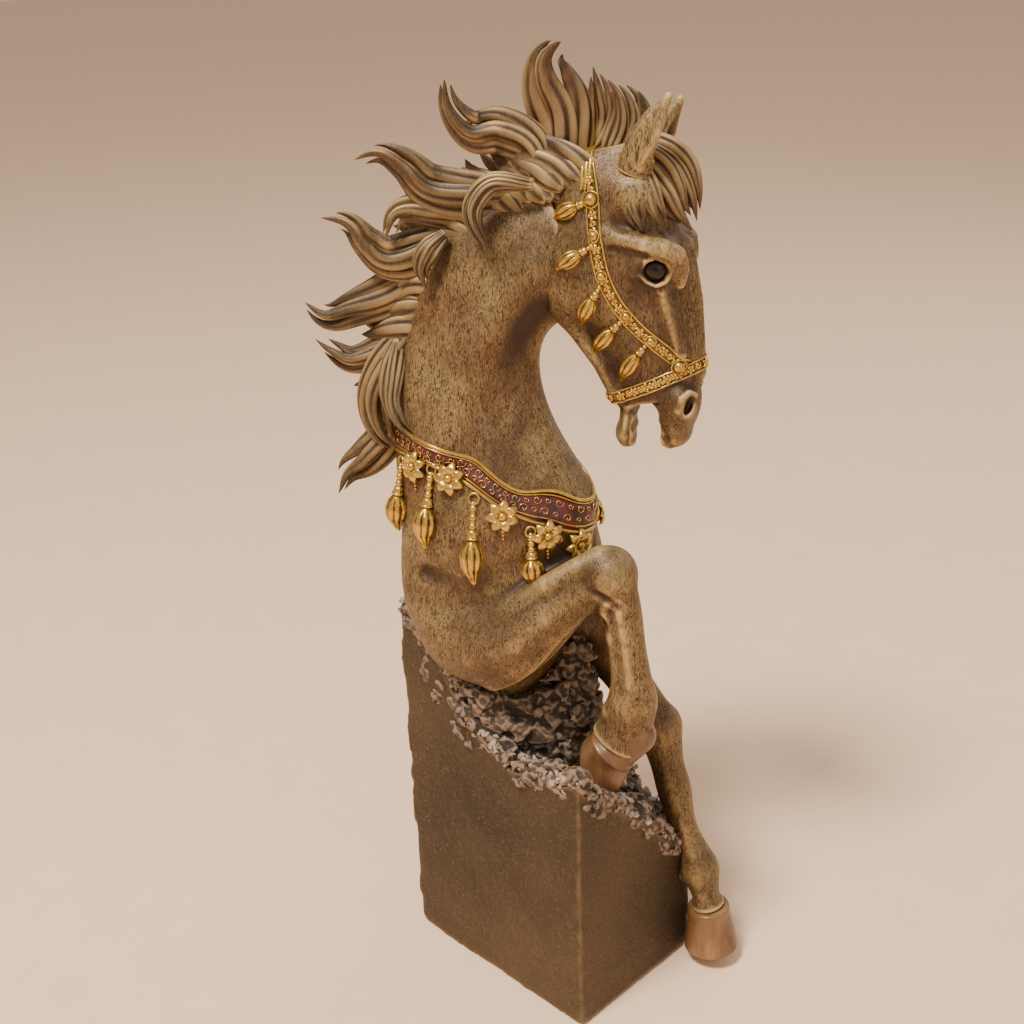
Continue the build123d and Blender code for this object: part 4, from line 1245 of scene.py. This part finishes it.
CHEEK_LINE = [(23, 362), (25.5, 351), (27, 337), (30.5, 321), (38, 307), (48, 296.5), (60, 286)]
NOSE_HEIGHTS = [(24, 271), (34, 273), (43, 277.5), (54, 282.5), (70, 288)]
STUD_PLACES = [(25.5, 350), (27, 337.5), (29.5, 323), (38, 307.5), (47, 297.5), (57, 287)]
BRIDLE_TASSELS = [
    ((25, 349.5), (12, 342.5)),
    ((26.5, 334), (13.5, 325.5)),
    ((29, 319), (20.5, 305.5)),
    ((37, 306), (24.5, 292.5)),
    ((46, 297), (35.5, 281.5)),
]
head_skin = Skin(head_clay)


def relief_strap(band, shapes, line, normals, width, rope_side, closed=False):
    """Gilt strap: rounded band, corded edge, plain edge, and pairs of small curls and buds."""
    ribbon(band, line, normals, width * 0.78, 0.55, closed)
    tangent = tangents(line, closed)
    across = unit(np.cross(normals, tangent))
    edge = line + across * rope_side * width * 0.5 + normals * 0.5
    tube(shapes, edge, 0.55, columns=10, closed=closed, twist=0.9, lobes=6, lobe_depth=0.3)
    tube(shapes, line - across * rope_side * width * 0.44 + normals * 0.45, 0.34, columns=8,
         closed=closed)
    lengths = np.linalg.norm(np.diff(line, axis=0), axis=1)
    spacing = max(1, int(round(2.9 / max(lengths.mean(), 1e-3))))
    for order, row in enumerate(range(spacing, len(line) - spacing // 2, spacing)):
        centre = line[row] + normals[row] * 0.75
        if order % 2:
            flower(shapes, centre - normals[row] * 0.25, normals[row], 2.05, petals=5, spin=0.4 * order)
        else:
            scroll(shapes, centre + across[row] * 0.45, normals[row], tangent[row], 1.35, 0.34, 1)
            scroll(shapes, centre - across[row] * 0.6, normals[row], -tangent[row], 1.2, 0.32, 1)


for side_name, side in SIDES.items():
    line, normals = head_skin.side_line(CHEEK_LINE, side, 90)
    line, normals = smoothed(line, 4), unit(normals)
    strap_band, strap_shapes = Shapes(), Shapes()
    relief_strap(strap_band, strap_shapes, line, normals, 5.0, -side)
    strap_band.piece(f"{side_name}_cheek_band", SHADED_GILT, [f"{side_name}_cheek_strap"])
    strap_shapes.piece(f"{side_name}_cheek_relief", GILT, [f"{side_name}_cheek_strap"])

    stud_shapes = Shapes()
    for order, (s, z) in enumerate(STUD_PLACES):
        point, normal = head_skin.from_side(s, z, side)
        size = 2.3 if order in (0, len(STUD_PLACES) - 1) else 1.6
        bead(stud_shapes, point + normal * 1.3, size, normal, 0.85, rows=12, columns=22)
        ring(stud_shapes, point + normal * 1.0, normal, size * 1.28, 0.34)
    stud_shapes.piece(f"{side_name}_bridle_bosses", GILT, [f"{side_name}_bridle_studs"])

    tassel_shapes = Shapes()
    for top, tip in BRIDLE_TASSELS:
        start, start_normal = head_skin.from_side(*top, side)
        end, end_normal = head_skin.from_side(*tip, side)
        if end is None:
            end, end_normal = head_skin.nearest((tip[0], start[1] * 0.8, tip[1]))
        start, end = start + start_normal * 0.7, end + end_normal * 1.9
        for step in range(3):
            bead(tassel_shapes, start + (end - start) * (0.03 + 0.085 * step), 1.0 - 0.1 * step)
        bud(tassel_shapes, start + (end - start) * 0.16, end + (end - start) * 0.06, 3.3, flutes=7)
    tassel_shapes.piece(f"{side_name}_bridle_buds", GILT, [f"{side_name}_bridle_tassels"])

nose_centre = np.array([48.0, 0.0, 279.0])
nose_s, nose_z = np.array(NOSE_HEIGHTS).T
line, normals = head_skin.loop(nose_centre, lambda s: float(np.interp(s, nose_s, nose_z)), 110)
nose_band, nose_shapes = Shapes(), Shapes()
line, normals = smoothed(line, 3, closed=True), unit(smoothed(normals, 3, closed=True))
relief_strap(nose_band, nose_shapes, line, normals, 4.6, -1, closed=True)
nose_band.piece("noseband_band", SHADED_GILT, ["noseband"])
nose_shapes.piece("noseband_relief", GILT, ["noseband"])

# The crown strap: three thin cords that rise from the cheek straps and pass over behind the ears.
crown_shapes = Shapes()
for offset in (-1.4, 0.0, 1.4):
    crown = []
    for turn in np.linspace(-0.95, 0.95, 40):
        outward = np.array([0, math.sin(turn * math.pi / 2), math.cos(turn * math.pi / 2)])
        start = np.array([23.0 + offset, 0, 352.0]) + outward * 60
        point, normal = head_skin.hit(start, -outward)
        if point is not None:
            crown.append(point + normal * 0.5)
    tube(crown_shapes, smoothed(np.array(crown), 2), 0.7, columns=8)
crown_shapes.piece("crown_cords", GILT, ["crown_strap"])

# ---- breast collar

COLLAR_LINE = [(-72, 247), (-60, 250.5), (-42, 252), (-22, 245.5), (-5, 234), (10, 226), (20, 220.5),
               (34, 214)]
COLLAR_WIDTH = 9.0
FLOWER_PLACES = [(-45, 243), (-29, 241), (-8, 228), (8, 218), (18, 211)]
COLLAR_TASSELS = [
    ((-52, 244), (-55, 213)),
    ((-37, 245), (-40, 213)),
    ((-19, 236), (-21, 202)),
    ((2, 222), (2, 199)),
    ((17, 211), (17, 183)),
]
bare_clay = Clay((-68, -46, 20), (60, 46, 364), 1.0)  # torso and neck without the forelegs
bare_clay.add_node("torso")
bare_clay.add_node("neck")
bare_clay.soften(2)
bare_skin = Skin(bare_clay)
torso_skin = Skin(body_clay, neck_clay)


LEG_STEP = 5  # a foreleg stands at least this far out from the bare body


def collar_place(place, side):
    """Point and outward direction on the body at (s, z), behind any foreleg that stands before it."""
    outer, bare = torso_skin.from_side(*place, side), bare_skin.from_side(*place, side)
    return bare if abs(outer[0][1] - bare[0][1]) > LEG_STEP else outer


collar_s, collar_z = smooth_line([(s, 0, z) for s, z in COLLAR_LINE], 80)[:, [0, 2]].T
line, normals = torso_skin.loop(
    np.array([-19.0, 0.0, 238.0]), lambda s: float(np.interp(s, collar_s, collar_z)), 260)
line = smoothed(line, 30, closed=True)
normals = unit(smoothed(normals, 60, closed=True))
tangent = tangents(line, closed=True)
across = unit(np.cross(normals, tangent))
across = across if across[0][2] > 0 else -across


def laid(share, lift):
    """The collar's line moved up by a share of its width, on the skin, and lifted off it."""
    points = []
    for place, outward in zip(line + across * share * COLLAR_WIDTH, normals):
        point, _ = torso_skin.hit(place + outward * 8, -outward)
        points.append((place if point is None else point) + outward * lift)
    return smoothed(np.array(points), 5, closed=True)


section = [laid(share, lift) for share, lift in (
    (-0.43, 0.5), (-0.2, 0.8), (0, 0.85), (0.2, 0.8), (0.43, 0.5), (0.4, -2), (-0.4, -2))]
band_shapes = Shapes()
band_shapes.add(*rings_to_mesh(np.stack(section, 1), closed=True))
band_shapes.piece("collar_enamel", ENAMEL, ["collar_band"])

facing = unit(np.cross(tangent, section[4] - section[0]))
facing = facing * np.sign((facing * normals).sum(1))[:, None]
filigree = Shapes()
upper_row, lower_row = laid(0.16, 1.1), laid(-0.16, 1.1)
for order, row in enumerate(range(0, len(line), 5)):
    hand = 1 if order % 2 else -1
    large, small = (upper_row, lower_row) if order % 2 else (lower_row, upper_row)
    scroll(filigree, large[row], facing[row], tangent[row] * hand, 2.0, 0.24, 1)
    scroll(filigree, small[row], facing[row], -tangent[row] * hand, 1.3, 0.21, 1)
filigree.piece("collar_filigree", GILT, ["collar_band"])

for edge_name, hand in (("upper", 1), ("lower", -1)):
    piping = Shapes()
    tube(piping, laid(hand * 0.47, 0.6), 0.85, columns=12, closed=True, twist=0.5, lobes=6,
         lobe_depth=0.16)
    tube(piping, laid(hand * 0.34, 0.8), 0.32, columns=8, closed=True)
    piping.piece(f"collar_{edge_name}_cord", GILT, [f"collar_{edge_name}_piping"])

flower_shapes = Shapes()
for s, z in FLOWER_PLACES:
    for side in (-1, 1):
        point, normal = collar_place((s, z), side)
        flower(flower_shapes, point + normal * 0.6 + UP * 1.6, normal, 6.7, petals=7, spin=0.2)
        for step in range(3):
            bead(flower_shapes, point + normal * 1.0 - UP * (5.0 + 1.6 * step), 0.95 - 0.15 * step)
flower_shapes.piece("collar_blossoms", GILT, ["collar_flowers"])

for side_name, side in SIDES.items():
    string_shapes, tassel_shapes = Shapes(), Shapes()
    for top, tip in COLLAR_TASSELS:
        start, start_normal = collar_place(top, side)
        end, end_normal = collar_place(tip, side)
        start, end = start + start_normal * 1.2, end + end_normal * 3.4
        ring(string_shapes, start, start_normal, 2.1, 0.5, columns=24)
        for step in range(7):
            place = start + (end - start) * (0.06 + 0.052 * step)
            bead(string_shapes, place, 1.6 if step % 2 else 1.15)
        ring(string_shapes, start + (end - start) * 0.42, end_normal, 1.9, 0.5, columns=22)
        bud(tassel_shapes, start + (end - start) * 0.36, end, 4.9, flutes=8, rows=34, columns=56)
    string_shapes.piece(f"{side_name}_collar_strings", GILT, [f"{side_name}_collar_beads"])
    tassel_shapes.piece(f"{side_name}_collar_buds", GILT, [f"{side_name}_collar_tassels"])

# ---- plinth, rock and stones


def cells(points, seed):
    """Distance from each point to the border between its nearest random sites, and a site number."""
    base = np.floor(points).astype(int)
    first = np.full(len(points), 9.0)
    second = np.full(len(points), 9.0)
    owner = np.zeros(len(points))
    for step in np.ndindex(3, 3, 3):
        cell = base + step - 1
        mixed = (cell @ np.array(PRIMES) + seed * 2654435) & 0xFFFFFF
        jitter = np.stack([
            (mixed * 1103515 + 12345) & 0xFFFF,
            (mixed * 22695477 + 1) >> 3 & 0xFFFF,
            (mixed * 6364136 + 1442695) >> 5 & 0xFFFF], axis=1) / 65535.0
        gap = np.linalg.norm(points - cell - jitter, axis=1)
        nearer = gap < first
        second = np.where(nearer, first, np.minimum(second, gap))
        owner = np.where(nearer, mixed % 997, owner)
        first = np.where(nearer, gap, first)
    return second - first, owner / 997.0


SHELL_LOW, SHELL_HIGH = (np.array(corner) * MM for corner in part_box("plinth_shell"))


def past_shell(points):
    """How far points stand outside the plinth's box along each world axis, negative inside."""
    return np.abs(points @ AXES - (SHELL_LOW + SHELL_HIGH) / 2) - (SHELL_HIGH - SHELL_LOW) / 2


def plinth_wall():
    """The cast plinth with a sandy skin and chipped corners and rim."""
    clay = node_clay("plinth_shell", 0.8, 2.4)
    grid = grid_points(clay)
    close = np.abs(clay.values) < 3.4
    place = grid[close]
    past = past_shell(place)
    edge = np.exp(-((np.abs(past[:, 0]) + np.abs(past[:, 1])) / 2.6) ** 2)
    sand = lattice_noise(place, 1.7, 31) * 0.16 + lattice_noise(place, 4.5, 32) * 0.22
    waves = lattice_noise(place, 15.0, 33) * 0.35
    chips = edge * np.clip(lattice_noise(place, 6.0, 34) + 0.15, 0, 1) * 2.6
    clay.values[close] += (sand + waves + chips + 0.2).astype(np.float32)
    return clay


def rim_line(axis, high):
    """Heights of the plinth's broken rim along one outer face: positions along it and heights."""
    world = node_mesh("plinth_shell")[0] @ AXES
    face = SHELL_HIGH[axis] if high else SHELL_LOW[axis]
    top = world[(np.abs(world[:, axis] - face) < 0.1) & (world[:, 2] > 30)]
    order = np.argsort(top[:, 1 - axis])
    return top[order, 1 - axis], top[order, 2]


# The four rims: the axis their face is square to, whether it is the high one, and their stones.
RIMS = {
    "near_rim_stones": (1, False, 190),
    "front_rim_stones": (0, True, 120),
    "far_rim_stones": (1, True, 110),
    "back_rim_stones": (0, False, 80),
}


def rim_place(name, along, inward):
    """Place on the rock at a share along a rim and a distance in from it, in the horse's frame."""
    axis, high, _ = RIMS[name]
    positions, heights = rim_line(axis, high)
    place = np.zeros(3)
    place[1 - axis] = SHELL_LOW[1 - axis] + along * (SHELL_HIGH - SHELL_LOW)[1 - axis]
    place[axis] = SHELL_HIGH[axis] - inward if high else SHELL_LOW[axis] + inward
    place[2] = np.interp(place[1 - axis], positions, heights)
    return place @ AXES.T


ROCK_HEAPS = [
    ((13, -2, 126), (11, 14, 33)), ((3, -13, 118), (15, 11, 25)), ((-10, -18, 120), (14, 11, 17)),
    ((-26, -22, 132), (13, 9, 15)), ((-44, -20, 150), (11, 9, 17))]


def broken_bed():
    """The rock inside the plinth, broken along flat fractures."""
    clay = node_clay("rock_bed", 0.8, 6.0)
    for name in RIMS:
        for along in np.linspace(0.05, 0.95, 15):
            clay.ball(rim_place(name, along, 4.2), (5.6, 5.6, 4.4), blend=3)
    for place, radii in ROCK_HEAPS:
        clay.ball(place, radii, blend=4)
    grid = grid_points(clay)
    clay.values = np.maximum(clay.values, past_shell(grid)[..., :2].max(axis=-1) + 0.7).astype(np.float32)
    close = np.abs(clay.values) < 5.0
    place = grid[close]
    border, owner = cells(place / 8.0, 5)
    fine_border, fine_owner = cells(place / 3.6, 8)
    broken = (owner - 0.5) * 4.6 + (fine_owner - 0.5) * 2.0 - np.clip(border * 6, 0, 1) * 0.7
    broken = broken - np.clip(fine_border * 5, 0, 1) * 0.3 + lattice_noise(place, 1.8, 41) * 0.35
    clay.values[close] += (broken + 0.7).astype(np.float32)
    return clay


clay_piece("plinth_casting", plinth_wall(), PLINTH, ["plinth_shell"])
clay_piece("rock_broken", broken_bed(), SHADED_ROCK, ["rock_bed"])


def stone(shapes, centre, size, turn):
    """One broken stone: the hull of a few random points, cut into flat facets."""
    count = int(RNG.integers(14, 22))
    points = RNG.normal(size=(count, 3))
    points = points / np.linalg.norm(points, axis=1)[:, None] * RNG.uniform(0.82, 1.1, (count, 1))
    points = (points * size) @ np.array(Matrix.Rotation(turn, 3, "Z")) + centre
    lump = bmesh.new()
    verts = [lump.verts.new(point) for point in points]
    result = bmesh.ops.convex_hull(lump, input=verts)
    bmesh.ops.delete(lump, geom=[g for g in result["geom_interior"] if isinstance(g, bmesh.types.BMVert)],
                     context="VERTS")
    bmesh.ops.bevel(lump, geom=lump.edges[:], offset=float(size.min()) * 0.06, segments=1, affect="EDGES")
    lump.verts.ensure_lookup_table()
    lump.verts.index_update()
    shapes.add([vert.co[:] for vert in lump.verts],
               [[vert.index for vert in face.verts] for face in lump.faces])
    lump.free()


STONE_GROUPS = {
    "near_rim_stones": 9,
    "front_rim_stones": 7,
    "far_rim_stones": 4,
    "back_rim_stones": 4,
    "pocket_stones": 4,
}
for name, share in STONE_GROUPS.items():
    heap = Shapes()
    for points in solids_of(name):
        low, high = corners_of(points)
        centre = (low + high) / 2
        half = np.clip((high - low) / 2, 1.6, 3.4)
        stone(heap, centre, half * 0.9, RNG.uniform(0, 6.28))
        for _ in range(share):
            offset = RNG.uniform(-1, 1, 3) * half * (1.0, 1.0, 0.5)
            stone(heap, centre + offset, half * RNG.uniform(0.24, 0.55, 3), RNG.uniform(0, 6.28))
    for _ in range(RIMS[name][2] if name in RIMS else 0):
        inward = 1.0 + 9.0 * RNG.random() ** 1.5
        place = rim_place(name, RNG.uniform(0.02, 0.98), inward) + UP * RNG.uniform(-0.6, 2.6)
        stone(heap, place, RNG.uniform(0.8, 2.4, 3), RNG.uniform(0, 6.28))
    heap.piece(f"{name}_broken", ROCK, [name], smooth=False)


# ---- pieces kept as they were packed

for node, paint in (("felt_sheet", FELT), ("plinth_base_plate", PLINTH), ("locating_dowels", STEEL)):
    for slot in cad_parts[node].material_slots:
        slot.link = "OBJECT"
        slot.material = paint

# ---- floor, light and camera

FLOOR_HALF = 6  # metres
floor_mesh = bpy.data.meshes.new("floor")
floor_mesh.from_pydata(
    [(x * FLOOR_HALF, y * FLOOR_HALF, 0) for x, y in ((-1, -1), (1, -1), (1, 1), (-1, 1))],
    [], [(0, 1, 2, 3)])
floor = bpy.data.objects.new("floor", floor_mesh)
bpy.context.scene.collection.objects.link(floor)
floor_mesh.materials.append(plain_paint(
    "pale_paper", (40, 4, 0.6), [(0.3, (0.94, 0.65, 0.43)), (0.7, (0.97, 0.68, 0.46))],
    [(0.3, 0.9), (0.7, 0.8)], (0.0002, 0.2)))

world = bpy.data.worlds.new("pale_room")
world.use_nodes = True
room = world.node_tree.nodes["Background"].inputs
room["Color"].default_value = (0.95, 0.85, 0.745, 1)
room["Strength"].default_value = 0.54
bpy.context.scene.world = world

LIGHT_AIM = Vector((0, 0, 0.22))


def soft_light(name, place, size, power, colour):
    """Large square light aimed at the middle of the statue."""
    lamp = bpy.data.lights.new(name, "AREA")
    lamp.shape = "SQUARE"
    lamp.size = size
    lamp.energy = power
    lamp.color = colour
    holder = bpy.data.objects.new(name, lamp)
    bpy.context.scene.collection.objects.link(holder)
    holder.location = place
    holder.rotation_euler = (LIGHT_AIM - Vector(place)).to_track_quat("-Z", "Y").to_euler()


soft_light("key_light", (0.06, -0.78, 1.70), 0.36, 46.0, (1.0, 0.95, 0.87))
soft_light("fill_light", (1.2, -0.3, 0.7), 1.1, 3.0, (1.0, 0.97, 0.93))
soft_light("rim_light", (0.2, 1.1, 0.9), 0.9, 4.0, (1.0, 0.98, 0.96))

CAMERA_PLACE = (0.3748, -0.3840, 0.4595)
YAW, PITCH, ROLL = math.radians(45.62), math.radians(24.23), math.radians(2.10)
ahead = Vector((-math.sin(YAW) * math.cos(PITCH), math.cos(YAW) * math.cos(PITCH), -math.sin(PITCH)))
right = Vector((math.cos(YAW), math.sin(YAW), 0))
down = ahead.cross(right)
tilted_right = right * math.cos(ROLL) + down * math.sin(ROLL)
tilted_down = down * math.cos(ROLL) - right * math.sin(ROLL)
lens = bpy.data.cameras.new("camera")
lens.lens = 50.147
lens.sensor_width = 36.0
camera = bpy.data.objects.new("camera", lens)
bpy.context.scene.collection.objects.link(camera)
camera.matrix_world = Matrix.Translation(CAMERA_PLACE) @ Matrix(
    (tilted_right, -tilted_down, -ahead)).transposed().to_4x4()
bpy.context.scene.camera = camera
